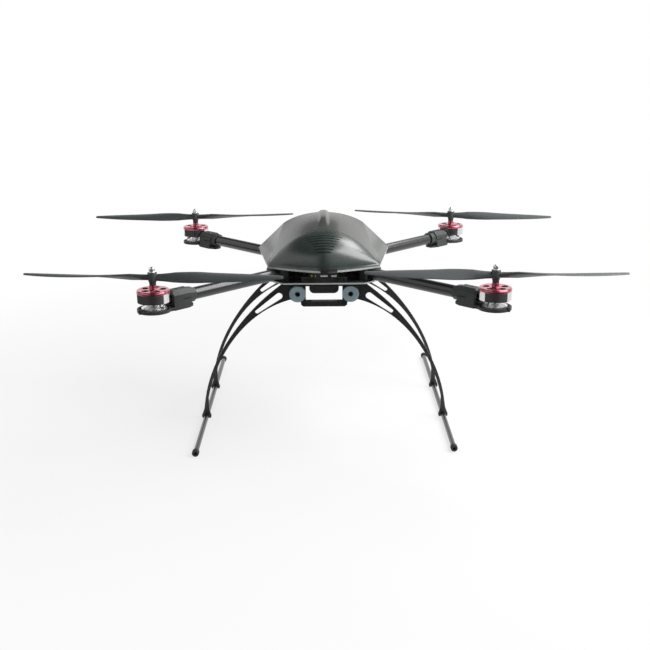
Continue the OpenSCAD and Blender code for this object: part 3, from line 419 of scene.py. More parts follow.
def grid_faces(rows, cols, ring=False):
    """Quads of a sheet of rows by columns; a ring closes each row on itself."""
    across = cols if ring else cols - 1
    return [(i * cols + j, i * cols + (j + 1) % cols, (i + 1) * cols + (j + 1) % cols, (i + 1) * cols + j)
            for i in range(rows - 1) for j in range(across)]


def tube_faces(rows, cols, start):
    """A ring sheet with both ends closed, its points numbered from start."""
    faces = [tuple(start + k for k in face) for face in grid_faces(rows, cols, True)]
    first = tuple(start + k for k in reversed(range(cols)))
    last = tuple(start + (rows - 1) * cols + k for k in range(cols))
    return faces + [first, last]


def turned(section, sides):
    """Points and faces of a closed half section turned round the Z axis."""
    angles = [math.tau * k / sides for k in range(sides)]
    verts = [Vector((r * math.cos(angle), r * math.sin(angle), z)) for r, z in section for angle in angles]
    rings = [[i * sides + k for k in range(sides)] for i in range(len(section))]
    faces = [(low[k], low[(k + 1) % sides], high[(k + 1) % sides], high[k])
             for low, high in zip(rings, rings[1:] + rings[:1]) for k in range(sides)]
    return verts, faces


# Angles in degrees past which shading breaks: on CAD meshes, on most pieces, on those with softer corners
CAD_BREAK, PIECE_BREAK, SOFT_BREAK = 28, 40, 50


def sharp_edges(obj, degrees):
    """Shading breaks at edges sharper than this."""
    split = obj.modifiers.new("sharp_edges", "EDGE_SPLIT")
    split.split_angle = math.radians(degrees)


def bake(obj):
    """Turns a piece's modifiers into its own mesh."""
    seen = obj.evaluated_get(bpy.context.evaluated_depsgraph_get())
    mesh = bpy.data.meshes.new_from_object(seen)
    obj.modifiers.clear()
    obj.data = mesh


# Dressing of the CAD nodes
# Width of the rounded edges of the nodes that show, in mm, by the start of the node's name
ROUNDING = {
    "bottom_plate": 0.25, "top_plate": 0.25, "arm_clamps": 0.5, "plate_standoffs": 0.3,
    "motor_mount": 0.6, "motor_cap": 0.6, "motor_shaft": 0.2,
    "front_leg_frame": 0.35, "rear_leg_frame": 0.35, "leg_brackets": 0.5,
    "payload_bars": 0.4, "rail_dampers": 0.5, "skid_caps": 0.4, "battery": 1.5, "board_connectors": 0.25,
    "power_plug": 0.3, "flight_controller": 0.8, "receiver": 0.8, "gps_module": 0.8, "canopy_latch": 0.4,
    "frame_screws": 0.25, "mount_screws": 0.25,
}
ROUND_SEGMENTS = 2
WELD_MM = 0.002
# Faces that meet at less than the first angle count as one, and edges past the second are rounded
FLAT_DEGREES, ROUND_DEGREES = 0.5, 34


def dress(row):
    """A CAD node's own material, welded corners, and rounded edges where they show."""
    name = row["node"]
    obj = NODES[name]
    mesh = obj.data
    mesh.materials.clear()
    mesh.materials.append(FINISHES[row["material_slot"]])
    if "custom_normal" in mesh.attributes:
        mesh.attributes.remove(mesh.attributes["custom_normal"])
    mesh.shade_smooth()
    weld = obj.modifiers.new("weld", "WELD")
    weld.merge_threshold = WELD_MM * MM
    width = next((w for start, w in ROUNDING.items() if name.startswith(start)), None)
    if width is None:
        sharp_edges(obj, CAD_BREAK)
        return
    flat = obj.modifiers.new("flat", "DECIMATE")
    flat.decimate_type = "DISSOLVE"
    flat.angle_limit = math.radians(FLAT_DEGREES)
    bevel = obj.modifiers.new("rounding", "BEVEL")
    bevel.width = width * MM
    bevel.segments = ROUND_SEGMENTS
    bevel.limit_method = "ANGLE"
    bevel.angle_limit = math.radians(ROUND_DEGREES)
    bevel.use_clamp_overlap = True
    shading = obj.modifiers.new("shading", "WEIGHTED_NORMAL")
    shading.keep_sharp = False


for subpart in frame["record"]["subparts"]:
    dress(subpart)


# Canopy, in mm from the middle of its rim
# Height of the roof, and of the hood's front edge in its middle
CANOPY_H, HOOD_H = 68.0, 55.0
# The rim's front and rear corners, and how far its nose and tail bow out
FRONT_X, FRONT_Y = 90.0, 78.0
REAR_X, REAR_Y = 114.0, 76.0
NOSE_Y, TAIL_Y, BOW_POWER = 115.0, 118.0, 1.5
# The facets' top corners, where the crease between roof and side is highest
ROOF_X, FACET_Y, FACET_H = 68.0, 40.0, 50.0
# The crease's height at the rim's corners, and how far it lies inside the rim there
FRONT_LIFT, REAR_LIFT, CREASE_INSET = 3.5, 1.2, 0.4
CANOPY_WALL = 1.8
# How far the hood's front edge leans back for its height, and how soon the lean dies out
HOOD_LEAN, LEAN_POWER = 23 / HOOD_H, 1.5
# Half the angle of the roof's arc at the hood's front edge, and from the facets' top corners on
HOOD_ARC, ROOF_ARC = math.radians(30), math.radians(48)
# The roof's height at the rear corners as a share of the canopy's, and how late it falls
REAR_SHARE, REAR_POWER = 0.72, 1.6
# Powers of the visor's curve, outwards and downwards from the hood
VISOR_OUT, VISOR_DOWN, VISOR_ROUND = 1.15, 1.5, 0.75
# The point on the middle line that the inner skin is drawn towards
SHRINK_Y = 15.0
SPINE_H, SPINE_X = 3.5, 8.0
# Share of the spine's reach that is flat on top, and the stretches along Y where it rises and falls
SPINE_FLAT = 0.35
SPINE_FROM, SPINE_TO = (-55.0, -5.0), (60.0, 105.0)
# Share of the way from the middle to the rim that the roof takes
ROOF_SHARE = 14 / 19
# Mesh steps; the columns lie closer together near the middle
COLUMN_POWER = 1.35
ROOF_STEPS, PANEL_STEPS = 56, 14
HOOD_STEPS, FACET_STEPS, TAIL_STEPS, VISOR_STEPS = 44, 18, 26, 56


def station(u, y, lean, rim_x, crease_x, crease_z, top_z, arc):
    """A point of an arched cross section; u runs from -1 at the left rim to 1 at the right."""
    a = abs(u)
    if a <= ROOF_SHARE:
        angle = arc * a / ROOF_SHARE
        x = crease_x * math.sin(angle) / math.sin(arc)
        z = crease_z + (top_z - crease_z) * (math.cos(angle) - math.cos(arc)) / (1 - math.cos(arc))
    else:
        t = (a - ROOF_SHARE) / (1 - ROOF_SHARE)
        x, z = mix(crease_x, rim_x, t), mix(crease_z, 0.0, t)
    return Vector((math.copysign(x, u), y + lean * z, z))


def side_x(y):
    """Half width of the rim."""
    return mix(FRONT_X, REAR_X, (y + FRONT_Y) / (FRONT_Y + REAR_Y))


def hood_row(u, p):
    """From the hood's front edge to the facets' top corners."""
    y = mix(-FRONT_Y, FACET_Y, p)
    return station(u, y, HOOD_LEAN * (1 - p) ** LEAN_POWER, side_x(y), mix(FRONT_X - CREASE_INSET, ROOF_X, p),
                   mix(FRONT_LIFT, FACET_H, p), mix(HOOD_H, CANOPY_H, math.sin(math.pi / 2 * p)),
                   mix(HOOD_ARC, ROOF_ARC, p))


def facet_row(u, q):
    """From the facets' top corners to the rear corners."""
    y = mix(FACET_Y, REAR_Y, q)
    return station(u, y, 0.0, side_x(y), mix(ROOF_X, REAR_X - CREASE_INSET, q), mix(FACET_H, REAR_LIFT, q),
                   mix(CANOPY_H, CANOPY_H * REAR_SHARE, q ** REAR_POWER), ROOF_ARC)


def tail_row(u, w):
    """From the rear corners down to the tail's rim."""
    p = facet_row(u, 1.0)
    turn = math.pi / 2 * w
    bow = Vector((REAR_X * u, mix(TAIL_Y, REAR_Y, abs(u) ** BOW_POWER), 0.0))
    flat = Vector((p.x, p.y, 0.0)).lerp(bow, math.sin(turn))
    return Vector((flat.x, flat.y, p.z * math.cos(turn)))


def nose_bow(v):
    """The rim's bow round the nose."""
    return Vector((FRONT_X * v, -mix(NOSE_Y, FRONT_Y, abs(v) ** BOW_POWER), 0.0))


def visor_point(w, v):
    """From the hood's front edge at w 0 down to the nose's rim at w 1."""
    p = hood_row(v * ROOF_SHARE, 0.0)
    flat = Vector((p.x, p.y, 0.0)).lerp(nose_bow(v), math.sin(math.pi / 2 * w) ** VISOR_OUT)
    return Vector((flat.x, flat.y, p.z * max(0.0, 1 - w ** VISOR_DOWN) ** VISOR_ROUND))


def spine(p):
    """Height of the ridge along the roof's middle line at a point."""
    along = ease((p.y - SPINE_FROM[0]) / (SPINE_FROM[1] - SPINE_FROM[0]))
    along *= 1 - ease((p.y - SPINE_TO[0]) / (SPINE_TO[1] - SPINE_TO[0]))
    return SPINE_H * along * (1 - ease((abs(p.x) - SPINE_X * SPINE_FLAT) / SPINE_X))


def shrunk(p, depth):
    """p drawn in towards the canopy's middle by about that depth."""
    k = 1 - depth / FRONT_X
    return Vector((p.x * k, SHRINK_Y + (p.y - SHRINK_Y) * k, p.z * k))


def on_rim(p):
    """From the canopy's own millimetres to metres in the frame."""
    return Vector((p.x * MM, p.y * MM, RIM_Z + p.z * MM))


def double_skin(points, rows, cols):
    """Outer sheet, inner sheet and the edge between them."""
    n = rows * cols
    verts = [on_rim(p) for p in points] + [on_rim(shrunk(p, CANOPY_WALL)) for p in points]
    faces = grid_faces(rows, cols)
    faces += [tuple(n + k for k in reversed(face)) for face in grid_faces(rows, cols)]
    border = list(range(cols)) + [i * cols + cols - 1 for i in range(1, rows)]
    border += [(rows - 1) * cols + j for j in reversed(range(cols - 1))]
    border += [i * cols for i in reversed(range(1, rows - 1))]
    faces += [(b, a, n + a, n + b) for a, b in zip(border, border[1:] + border[:1])]
    return verts, faces


def canopy_shell_skin():
    """The hood, the facets and the tail in one skin, with the spine on top."""
    half = [ROOF_SHARE * t ** COLUMN_POWER for t in steps(ROOF_STEPS)]
    half += [mix(ROOF_SHARE, 1.0, t) for t in steps(PANEL_STEPS)[1:]]
    across = [-u for u in reversed(half[1:])] + half
    rows = [[hood_row(u, p) for u in across] for p in steps(HOOD_STEPS)]
    rows += [[facet_row(u, q) for u in across] for q in steps(FACET_STEPS)[1:]]
    rows += [[tail_row(u, w) for u in across] for w in steps(TAIL_STEPS)[1:]]
    points = [p + Vector((0, 0, spine(p))) for row in rows for p in row]
    verts, faces = double_skin(points, len(rows), len(across))
    shell = new_piece("canopy_skin", verts, faces, "canopy_grey", "canopy", "canopy_shell")
    sharp_edges(shell, SOFT_BREAK)


# Vents in the visor: count, how far down the first and last sit, and their sizes
VENTS, VENT_ROWS = 7, (0.265, 0.69)
VENT_W, VENT_H, VENT_DEPTH = 60.0, 1.5, 24.0
# The last vent's width as a share of the first's
VENT_TAPER = 0.36
VENT_END_STEPS = 8
# Half the stretch of the visor that a vent's tilt is taken from
TILT_STEP = 0.02
# How far the visor lies under the hood's face, and the share of its way down that the seam takes
VISOR_INSET, VISOR_SEAM = 0.15, 0.025
# The lip along the visor's foot: height, reach, and the share of its height that it turns out over
LIP_H, LIP_W, LIP_BLEND = 3.0, 0.9, 0.6


def vent_cutter():
    """Slots with round ends, each square to the visor at its middle."""
    verts, faces = [], []
    for t in steps(VENTS - 1):
        w = mix(*VENT_ROWS, t)
        middle = shrunk(visor_point(w, 0.0), VISOR_INSET)
        up = (visor_point(w - TILT_STEP, 0.0) - visor_point(w + TILT_STEP, 0.0)).normalized()
        out = Vector(X_AXIS).cross(up)
        half = VENT_W * mix(1.0, VENT_TAPER, t) / 2 - VENT_H / 2
        ring = []
        for side in (1, -1):
            for j in range(VENT_END_STEPS + 1):
                a = math.pi * (j / VENT_END_STEPS - 0.5)
                ring.append((side * (half + VENT_H / 2 * math.cos(a)), side * VENT_H / 2 * math.sin(a)))
        start = len(verts)
        for depth in (-VENT_DEPTH / 2, VENT_DEPTH / 2):
            verts += [on_rim(middle + Vector((x, 0, 0)) + up * h + out * depth) for x, h in ring]
        faces += tube_faces(2, len(ring), start)
    mesh = bpy.data.meshes.new("vent_cutter")
    mesh.from_pydata([tuple(v) for v in verts], [], faces)
    work = bmesh.new()
    work.from_mesh(mesh)
    bmesh.ops.recalc_face_normals(work, faces=work.faces)
    work.to_mesh(mesh)
    work.free()
    cutter = bpy.data.objects.new("vent_cutter", mesh)
    bpy.context.collection.objects.link(cutter)
    return cutter


def with_lip(p):
    """The visor's foot turned out a little."""
    flat = Vector((p.x, p.y, 0.0)).normalized()
    return p + flat * LIP_W * ease((LIP_H - p.z) / (LIP_BLEND * LIP_H))


def canopy_visor_skin():
    """The visor from its foot up to the seam under the hood, with the vents cut through."""
    half = [t ** COLUMN_POWER for t in steps(ROOF_STEPS)]
    across = [-v for v in reversed(half[1:])] + half
    down = [mix(VISOR_SEAM, 1.0, t) for t in steps(VISOR_STEPS)]
    rows = [[visor_point(w, v) for v in across] for w in reversed(down)]
    points = [with_lip(shrunk(p, VISOR_INSET)) for row in rows for p in row]
    verts, faces = double_skin(points, len(rows), len(across))
    visor = new_piece("visor_skin", verts, faces, "visor_smoke", "canopy", "canopy_visor")
    cutter = vent_cutter()
    cut = visor.modifiers.new("vents", "BOOLEAN")
    cut.object = cutter
    cut.operation = "DIFFERENCE"
    cut.solver = "EXACT"
    bake(visor)
    bpy.data.objects.remove(cutter)
    sharp_edges(visor, PIECE_BREAK)


canopy_shell_skin()
canopy_visor_skin()


# Propellers, in mm from the motor's axis
TIP_R = 190.2
BLADE_ROOT = 4.2
BLADE_CHORD, TIP_CHORD = 32.0, 14.0
PROP_PITCH, TIP_PITCH = 140.0, 112.0
MAX_TWIST = math.radians(34)
ROOT_THICK, BLADE_THICK = 8.0, 3.3
# How fast the root's thickness fades out, and the share of the blade's that is left at the tip
THICK_FADE, TIP_THIN = 2.2, 0.8
# Sweep and camber as shares of the chord, and the root's chord as a share of the hub's width
SWEEP, CAMBER, ROOT_SHARE = 0.08, 0.05, 0.85
# Where the blade is widest and where its tip begins, as shares of the radius
WIDEST, TIP_START = 0.4, 0.97
# How late the blade tapers, and how round its tip is
TAPER_POWER, TIP_ROUND = 3.2, 0.85
TIP_RISE = 3.0
BLADE_ROWS, BLADE_SIDES = 60, 40
HUB_D, HUB_H, HUB_BORE = 13.6, 19.0, 3.05
HUB_SIDES = 64
NECK_INSET, NECK_H = 1.9, 3.0
# The hub's flare: share of the way out from the neck, and height
HUB_FLARE = ((0.3, 4.6), (0.8, 7.6))
# Rounding of the hub's top edge: its reach, and how far its middle lies inside the corner
HUB_ROUND, HUB_NICK = 1.2, 0.35
# Height of the blades' middle as a share of the hub's
BLADE_LEVEL = 0.55
# Parked angle and turning sense of each propeller, seen from above
PARKED = dict(zip(CORNERS, (-5.0, -2.2, 3.0, -13.7)))
TURNING = dict(zip(CORNERS, (1, -1, -1, 1)))


def chord(r):
    """The blade's width at a radius: it swells, tapers and ends in a round tip."""
    t = r / TIP_R
    if t < WIDEST:
        return mix(HUB_D * ROOT_SHARE, BLADE_CHORD, ease(t / WIDEST))
    if t < TIP_START:
        return mix(BLADE_CHORD, TIP_CHORD, ((t - WIDEST) / (TIP_START - WIDEST)) ** TAPER_POWER)
    return TIP_CHORD * math.sqrt(1 - (TIP_ROUND * (t - TIP_START) / (1 - TIP_START)) ** 2)


def blade_point(r, angle, sense):
    """A point of the blade's section at a radius; the angle runs round the section."""
    wide = chord(r)
    t = r / TIP_R
    thick = mix(ROOT_THICK, BLADE_THICK, ease(THICK_FADE * t)) * mix(1.0, TIP_THIN, t)
    across = math.cos(angle) * wide / 2 + SWEEP * wide
    above = math.sin(angle) * thick / 2 + CAMBER * wide * (1 - math.cos(angle) ** 2)
    twist = min(MAX_TWIST, math.atan(mix(PROP_PITCH, TIP_PITCH, t) / (math.tau * r)))
    z = across * math.sin(twist) + above * math.cos(twist) + TIP_RISE * t ** 3
    return Vector((r, sense * (across * math.cos(twist) - above * math.sin(twist)), z))


def hub_section():
    """Half section of the hub, from the bore's foot round the outside to the bore's top."""
    out = HUB_D / 2
    neck = out - NECK_INSET
    flare = [(mix(neck, out, share), z) for share, z in HUB_FLARE]
    shoulder = [(out, HUB_H - HUB_ROUND), (out - HUB_NICK, HUB_H - HUB_NICK), (out - HUB_ROUND, HUB_H)]
    return [(HUB_BORE, 0.0), (neck, 0.0), (neck, NECK_H), *flare, (out, HUB_H / 2), *shoulder,
            (HUB_BORE, HUB_H)]


def propeller(corner):
    """Both blades and the hub, turned to the parked angle."""
    sense = TURNING[corner]
    hub_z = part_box("propeller_" + corner)[0].z / MM
    blade_z = hub_z + HUB_H * BLADE_LEVEL
    verts, faces = turned([(r, hub_z + z) for r, z in hub_section()], HUB_SIDES)
    for turn in (0.0, math.pi):
        start = len(verts)
        swing = Matrix.Rotation(turn, 3, "Z")
        for t in steps(BLADE_ROWS):
            for k in range(BLADE_SIDES):
                p = blade_point(mix(BLADE_ROOT, TIP_R, t), -sense * math.tau * k / BLADE_SIDES, sense)
                verts.append(swing @ p + Vector((0, 0, blade_z)))
        faces += tube_faces(BLADE_ROWS + 1, BLADE_SIDES, start)
    park = Matrix.Rotation(math.radians(PARKED[corner]), 3, "Z")
    verts = [AXIS[corner] + park @ v * MM for v in verts]
    blades = new_piece("blades_" + corner, verts, faces, "blade_nylon", "rotor_" + corner,
                       "propeller_" + corner)
    sharp_edges(blades, PIECE_BREAK)


for corner in CORNERS:
    propeller(corner)


# Motor bases, in mm from the mount's ring: half section from the bore's foot round to its top
BASE_SECTION = (
    (6.6, 0.0), (18.2, 0.0), (18.5, 0.3), (18.5, 3.2), (18.1, 3.6),
    (14.0, 4.1), (10.8, 5.2), (9.3, 6.8), (8.9, 8.6), (9.4, 10.2), (11.4, 11.6), (14.5, 12.3),
    (18.2, 12.5), (18.5, 12.8), (18.5, 13.7), (18.2, 14.0),
    (8.0, 14.0), (8.0, 24.8), (6.6, 24.8),
)
BASE_SIDES = 64
# The boss on a base where the motor's leads end: half width, height of its middle, half its height
BOSS_W, BOSS_Z, BOSS_H = 4.4, 5.9, 1.9
# Its reach from the motor's axis, its chamfer's length, and the share of its section left at the end
BOSS_FROM, BOSS_TO, BOSS_EDGE, BOSS_END = 8.0, 18.3, 0.4, 0.85
BOSS_POWER, BOSS_SIDES = 0.5, 24


def squarish(value):
    """A sine or cosine that draws an oval with fuller corners."""
    return math.copysign(abs(value) ** BOSS_POWER, value)


def motor_bases():
    """A waisted casting under each motor."""
    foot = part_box("motor_bases")[0].z / MM
    body_verts, body_faces = turned(BASE_SECTION, BASE_SIDES)
    boss_rings = ((BOSS_FROM, 1.0), (BOSS_TO - BOSS_EDGE, 1.0), (BOSS_TO, BOSS_END))
    verts, faces = [], []
    for corner in CORNERS:
        axis = Vector((SPIN[corner].x / MM, SPIN[corner].y / MM, foot))
        inward = -Vector((axis.x, axis.y, 0.0)).normalized()
        across = Vector((-inward.y, inward.x, 0.0))
        faces += [tuple(len(verts) + k for k in face) for face in body_faces]
        verts += [axis + p for p in body_verts]
        start = len(verts)
        for reach, share in boss_rings:
            for k in range(BOSS_SIDES):
                angle = math.tau * k / BOSS_SIDES
                y = squarish(math.cos(angle)) * BOSS_W * share
                z = squarish(math.sin(angle)) * BOSS_H * share + BOSS_Z
                verts.append(axis + inward * reach + across * y + Vector((0, 0, z)))
        faces += tube_faces(len(boss_rings), BOSS_SIDES, start)
    verts = [v * MM for v in verts]
    bases = new_piece("base_castings", verts, faces, "bare_aluminium", "airframe", "motor_bases")
    sharp_edges(bases, PIECE_BREAK)


motor_bases()


# Motor cans, in mm: the flux ring with its magnets, and the cap's rim that laps over it
CAN_SIDES = 96
CAN_R, CAN_WALL, CAN_EDGE = 24.0, 1.4, 0.35
# How far the ring hangs below the CAD's
CAN_DROP = 2.3
# Magnets: count, radii, half width, and levels above the CAD ring's foot
MAGNETS, MAGNET_IN, MAGNET_OUT, MAGNET_HALF = 14, 20.3, 22.2, 3.75
MAGNET_LOW, MAGNET_HIGH = 1.1, 9.5
# Points across a magnet's face, as shares of its half width
MAGNET_ACROSS = (-1.0, -0.4, 0.4, 1.0)
# The rim's radii, and its reach below and above the ring's top
RIM_R, RIM_IN, RIM_EDGE = 24.12, 23.3, 0.25
RIM_DOWN, RIM_UP = 1.5, 2.2


def flux_can(corner):
    """The ring and the magnets on its inside."""
    low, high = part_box("flux_ring_" + corner)
    foot, top = low.z / MM, high.z / MM
    inner, under = CAN_R - CAN_WALL, foot - CAN_DROP
    verts, faces = turned([
        (inner, under + CAN_EDGE), (inner + CAN_EDGE, under), (CAN_R - CAN_EDGE, under),
        (CAN_R, under + CAN_EDGE), (CAN_R, top), (inner, top)], CAN_SIDES)
    for m in range(MAGNETS):
        start = len(verts)
        for z in (foot + MAGNET_LOW, foot + MAGNET_HIGH):
            for r, across in ((MAGNET_OUT, MAGNET_ACROSS), (MAGNET_IN, MAGNET_ACROSS[::-1])):
                for t in across:
                    angle = math.tau * m / MAGNETS + t * math.asin(MAGNET_HALF / r)
                    verts.append(Vector((r * math.cos(angle), r * math.sin(angle), z)))
        faces += tube_faces(2, 2 * len(MAGNET_ACROSS), start)
    verts = [AXIS[corner] + v * MM for v in verts]
    can = new_piece("flux_can_" + corner, verts, faces, "flux_steel", "rotor_" + corner,
                    "flux_ring_" + corner)
    sharp_edges(can, PIECE_BREAK)


def cap_rim(corner):
    """The outer rim of the motor's cap."""
    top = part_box("flux_ring_" + corner)[1].z / MM
    under, over = top - RIM_DOWN, top + RIM_UP
    verts, faces = turned([
        (RIM_IN, under), (RIM_R - RIM_EDGE, under), (RIM_R, under + RIM_EDGE),
        (RIM_R, over - RIM_EDGE), (RIM_R - RIM_EDGE, over), (RIM_IN, over)], CAN_SIDES)
    verts = [AXIS[corner] + v * MM for v in verts]
    rim = new_piece("cap_rim_" + corner, verts, faces, "red_anodised", "rotor_" + corner)
    sharp_edges(rim, SOFT_BREAK)


for corner in CORNERS:
    flux_can(corner)
    cap_rim(corner)


# Prop nuts, in mm: a washer, a hexagon and a dome
WASHER_R, WASHER_H, WASHER_EDGE = 5.2, 1.0, 0.2
NUT_R, NUT_H = 4.6, 4.4
# The hexagon's foot as a share of its radius, and the heights of its chamfer there and of the one at the dome
NUT_FOOT_SHARE, NUT_CHAMFER, DOME_CHAMFER = 0.97, 0.3, 0.5
DOME_R, DOME_POWER = 4.3, 0.7
NUT_SIDES, DOME_STEPS = 48, 8


def hexagon(angle, corner_r):
    """Radius of a hexagon at an angle."""
    sixth = math.pi / 6
    return corner_r * math.cos(sixth) / math.cos((angle % (math.pi / 3)) - sixth)


def prop_nut(corner):
    """Rings of radius and height, from the washer's bore up to the dome's top."""
    low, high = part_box("prop_nut_" + corner)
    angles = [math.tau * k / NUT_SIDES for k in range(NUT_SIDES)]
    dome_z = WASHER_H + NUT_H
    dome_h = (high.z - low.z) / MM - WASHER_H - NUT_H
    rings = [[(r, z) for _ in angles] for r, z in (
        (HUB_BORE, 0.0), (WASHER_R - WASHER_EDGE, 0.0), (WASHER_R, WASHER_EDGE),
        (WASHER_R, WASHER_H - WASHER_EDGE), (WASHER_R - WASHER_EDGE, WASHER_H), (NUT_R, WASHER_H))]
    for share, z in ((NUT_FOOT_SHARE, 0.0), (1.0, NUT_CHAMFER), (1.0, NUT_H - DOME_CHAMFER)):
        rings.append([(hexagon(angle, NUT_R) * share, WASHER_H + z) for angle in angles])
    for t in steps(DOME_STEPS)[:-1]:
        turn = math.pi / 2 * t
        r, z = DOME_R * math.cos(turn) ** DOME_POWER, dome_z + dome_h * math.sin(turn)
        rings.append([(r, z) for _ in angles])
    foot = Vector((SPIN[corner].x, SPIN[corner].y, low.z))
    verts = [foot + Vector((r * math.cos(angle), r * math.sin(angle), z)) * MM
             for ring in rings for (r, z), angle in zip(ring, angles)]
    nut = new_piece("acorn_nut_" + corner, verts, tube_faces(len(rings), NUT_SIDES, 0), "bare_aluminium",
                    "rotor_" + corner, "prop_nut_" + corner)
    sharp_edges(nut, SOFT_BREAK)


for corner in CORNERS:
    prop_nut(corner)


# Battery strap: its thickness, the rolling of its edges, and the outer radii of its corners
STRAP_THICK, STRAP_ROLL = 1.4 * MM, 0.4 * MM
STRAP_LOW_R, STRAP_TOP_R = 9.5 * MM, 1.4 * MM
STRAP_STEPS = 10


def strap_section(half_w):
    """The webbing's section: depth under its outer face, and place across it."""
    inner, outer = half_w - STRAP_ROLL, half_w
    one_edge = [(0.0, inner), (STRAP_ROLL, outer), (STRAP_THICK - STRAP_ROLL, outer), (STRAP_THICK, inner)]
    return [(depth, -y) for depth, y in one_edge] + one_edge[::-1]


def battery_strap():
    """Webbing in a loop round the battery and the bottom plate."""
    low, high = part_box("battery_strap")
    section = strap_section((high.y - low.y) / 2)
    middle_y = (high.y + low.y) / 2
    corners = [(high.x, high.z, STRAP_TOP_R, 0), (low.x, high.z, STRAP_TOP_R, 90),
               (low.x, low.z, STRAP_LOW_R, 180), (high.x, low.z, STRAP_LOW_R, 270)]
    verts = []
    for x, z, r, start in corners:
        centre = Vector((x - math.copysign(r, x), 0.0, z - (r if z == high.z else -r)))
        for t in range(STRAP_STEPS + 1):
            angle = math.radians(start + 90 * t / STRAP_STEPS)
            out = Vector((math.cos(angle), 0.0, math.sin(angle)))
            verts += [centre + out * (r - depth) + Vector((0, middle_y + y, 0)) for depth, y in section]
    cols = len(section)
    rows = len(verts) // cols
    faces = [(i * cols + j, i * cols + (j + 1) % cols,
              (i + 1) % rows * cols + (j + 1) % cols, (i + 1) % rows * cols + j)
             for i in range(rows) for j in range(cols)]
    strap = new_piece("strap_loop", verts, faces, "strap_webbing", "airframe", "battery_strap")
    sharp_edges(strap, PIECE_BREAK)


battery_strap()


# Studio, in metres and watts
# The sky's brightness in front of the object and behind it, and the directions between which it changes
SKY_FRONT, SKY_BACK = 0.2, 0.8
SKY_FROM, SKY_TO = -0.7, 0.5
# The floor's half width and the size of its mottle
FLOOR_HALF, FLOOR_MOTTLE = 6.0, 0.5
# Its white share near the object and far out, and the distances between which it changes
WHITE_NEAR, WHITE_FAR = 0.72, 1.0
FADE_FROM, FADE_TO = 0.4, 1.1
# Flags on the floor, before the object and to its left: how far out both reach, the line where they meet,
# and the right and rear edges of the left one
FLAG_SIDE, FLAG_LINE, FLAG_LEFT, FLAG_REAR = 3.0, -0.35, -0.85, 1.0
# The flag that stands in front, the one that hangs above, and the levels of the lowest and highest
FLAG_FRONT, FLAG_HALF = -2.4, 1.0
TOP_LEFT, TOP_RIGHT, TOP_BACK = -2.2, 0.9, 4.2
FLAG_LOW, FLAG_HIGH = 0.0005, 2.6
# Lamps: name, place, size, power, and whether the object mirrors it; all look at one point
LAMP_TARGET = (0.0, 0.0, 0.25)
LAMPS = (
    ("key_right", (1.25, -0.2, 1.3), (1.1, 1.3), 32.0, True),
    ("back_right", (1.1, 0.9, 1.85), (0.8, 0.7), 15.0, True),
    ("fill_left", (-1.3, 1.1, 1.9), (0.8, 0.6), 2.5, False),
    ("front_soft", (0.35, -2.2, 1.0), (0.6, 0.5), 5.0, False),
)
# The photograph's viewpoint: a square frame and its focal length in mm, place, and turn in degrees
FRAME_MM, FOCAL_MM = 36.0, 52.79
CAMERA_PLACE = (-0.004, -1.589, 0.616)
CAMERA_TURN = (73.44, 0.35, -0.30)


def lamp(name, place, size, power, mirrored):
    data = bpy.data.lights.new(name, "AREA")
    data.shape = "RECTANGLE"
    data.size, data.size_y = size
    data.energy = power
    obj = bpy.data.objects.new(name, data)
    obj.location = place
    obj.rotation_euler = (Vector(LAMP_TARGET) - Vector(place)).to_track_quat("-Z", "Y").to_euler()
    obj.visible_glossy = mirrored
    bpy.context.collection.objects.link(obj)


def shows_backdrop(tree):
    """1 for rays from the camera, a mirror or glass, which all see the white backdrop."""
    path = add_node(tree, "LightPath", {})
    seen = path.outputs["Is Camera Ray"]
    for kind in ("Is Glossy Ray", "Is Transmission Ray"):
        seen = add_node(tree, "Math", {0: seen, 1: path.outputs[kind]}, operation="MAXIMUM").outputs[0]
    return seen


def studio_world():
    """Sky that lights the object more from behind than from the front; the camera sees it white."""
    world = bpy.data.worlds.new("studio")
    bpy.context.scene.world = world
    world.use_nodes = True
    tree = world.node_tree
    background = tree.nodes["Background"]
    place = add_node(tree, "TexCoord", {}).outputs["Generated"]
    depth = add_node(tree, "SeparateXYZ", {0: place}).outputs["Y"]
    ends = {"Value": depth, "From Min": SKY_FROM, "From Max": SKY_TO, "To Min": SKY_FRONT, "To Max": SKY_BACK}
    sky = add_node(tree, "MapRange", ends, interpolation_type="SMOOTHSTEP").outputs[0]
    shown = add_node(tree, "Math", {0: sky, 1: shows_backdrop(tree)}, operation="MAXIMUM").outputs[0]
    put(tree, background.inputs["Color"], shown)
    put(tree, background.inputs["Strength"], 1.0)


def new_card(name, corners, material):
    """A flat rectangle for the studio."""
    mesh = bpy.data.meshes.new(name)
    mesh.from_pydata(corners, [], [(0, 1, 2, 3)])
    mesh.materials.append(material)
    card = bpy.data.objects.new(name, mesh)
    bpy.context.collection.objects.link(card)
    return card


def level(left, right, front, back, z):
    """Corners of a level rectangle."""
    return ((left, front, z), (right, front, z), (right, back, z), (left, back, z))


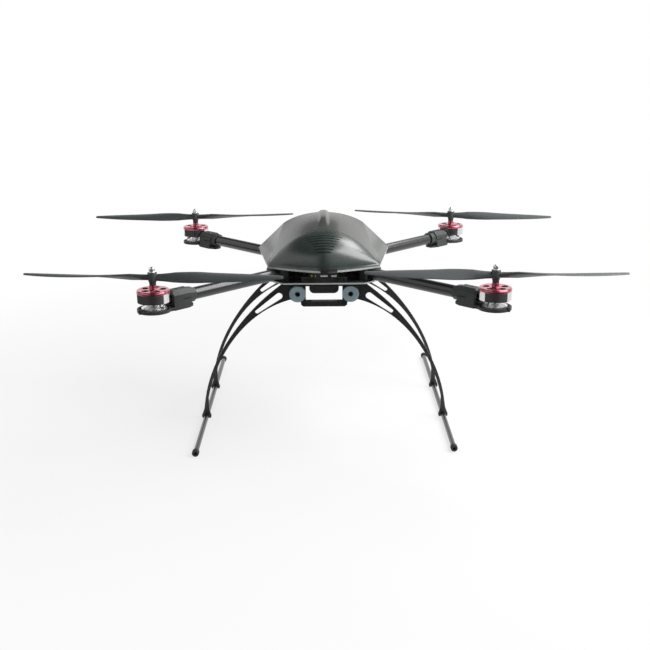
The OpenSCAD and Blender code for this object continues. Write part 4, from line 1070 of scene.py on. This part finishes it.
def studio_floor():
    """Pale floor that keeps the object's shadow near it and turns white further out."""
    look = Finish("studio_floor", Roughness=0.9, Specular_IOR_Level=0.0)
    look.tone(look.noise(FLOOR_MOTTLE), (0.80, 0.80, 0.80), (0.84, 0.84, 0.84))
    far = look.node("VectorMath", {0: look.place()}, operation="LENGTH").outputs["Value"]
    white = look.node("Emission", {"Color": (1.0, 1.0, 1.0), "Strength": 1.0}).outputs[0]
    share = look.remap(far, WHITE_NEAR, WHITE_FAR, FADE_FROM, FADE_TO)
    fade = look.math("MULTIPLY", share, shows_backdrop(look.tree))
    cover = look.node("MixShader", {0: fade, 1: look.shader.outputs[0], 2: white}).outputs[0]
    output = next(n for n in look.tree.nodes if n.type == "OUTPUT_MATERIAL")
    put(look.tree, output.inputs["Surface"], cover)
    floor = new_card("floor", level(-FLOOR_HALF, FLOOR_HALF, -FLOOR_HALF, FLOOR_HALF, 0), look.material)


def flag(name, dims, corners):
    """A black card that mirrors show dark; it may dim the sky's light too. The camera looks past it."""
    card = new_card(name, corners, FLAG_CLOTH)
    card.visible_camera = False
    card.visible_shadow = False
    card.visible_diffuse = dims


def camera():
    data = bpy.data.cameras.new("camera")
    data.sensor_width = FRAME_MM
    data.lens = FOCAL_MM
    obj = bpy.data.objects.new("camera", data)
    obj.location = CAMERA_PLACE
    obj.rotation_euler = [math.radians(turn) for turn in CAMERA_TURN]
    bpy.context.collection.objects.link(obj)
    bpy.context.scene.camera = obj


studio_world()
studio_floor()
FLAG_CLOTH = moulded("flag_cloth", (0.010, 0.010, 0.010), (0.016, 0.016, 0.016), 0.8).material
flag("flag_floor", False, level(-FLAG_SIDE, FLAG_SIDE, -FLAG_SIDE, FLAG_LINE, FLAG_LOW))
flag("flag_left", False, level(-FLAG_SIDE, FLAG_LEFT, FLAG_LINE, FLAG_REAR, FLAG_LOW))
flag("flag_front", True, [(x, FLAG_FRONT, z) for x, z in (
    (-FLAG_HALF, FLAG_LOW), (FLAG_HALF, FLAG_LOW), (FLAG_HALF, FLAG_HIGH), (-FLAG_HALF, FLAG_HIGH))])
flag("flag_top", True, level(TOP_LEFT, TOP_RIGHT, FLAG_FRONT, TOP_BACK, FLAG_HIGH))
for row in LAMPS:
    lamp(*row)
camera()
bpy.context.scene.view_settings.view_transform = "Standard"
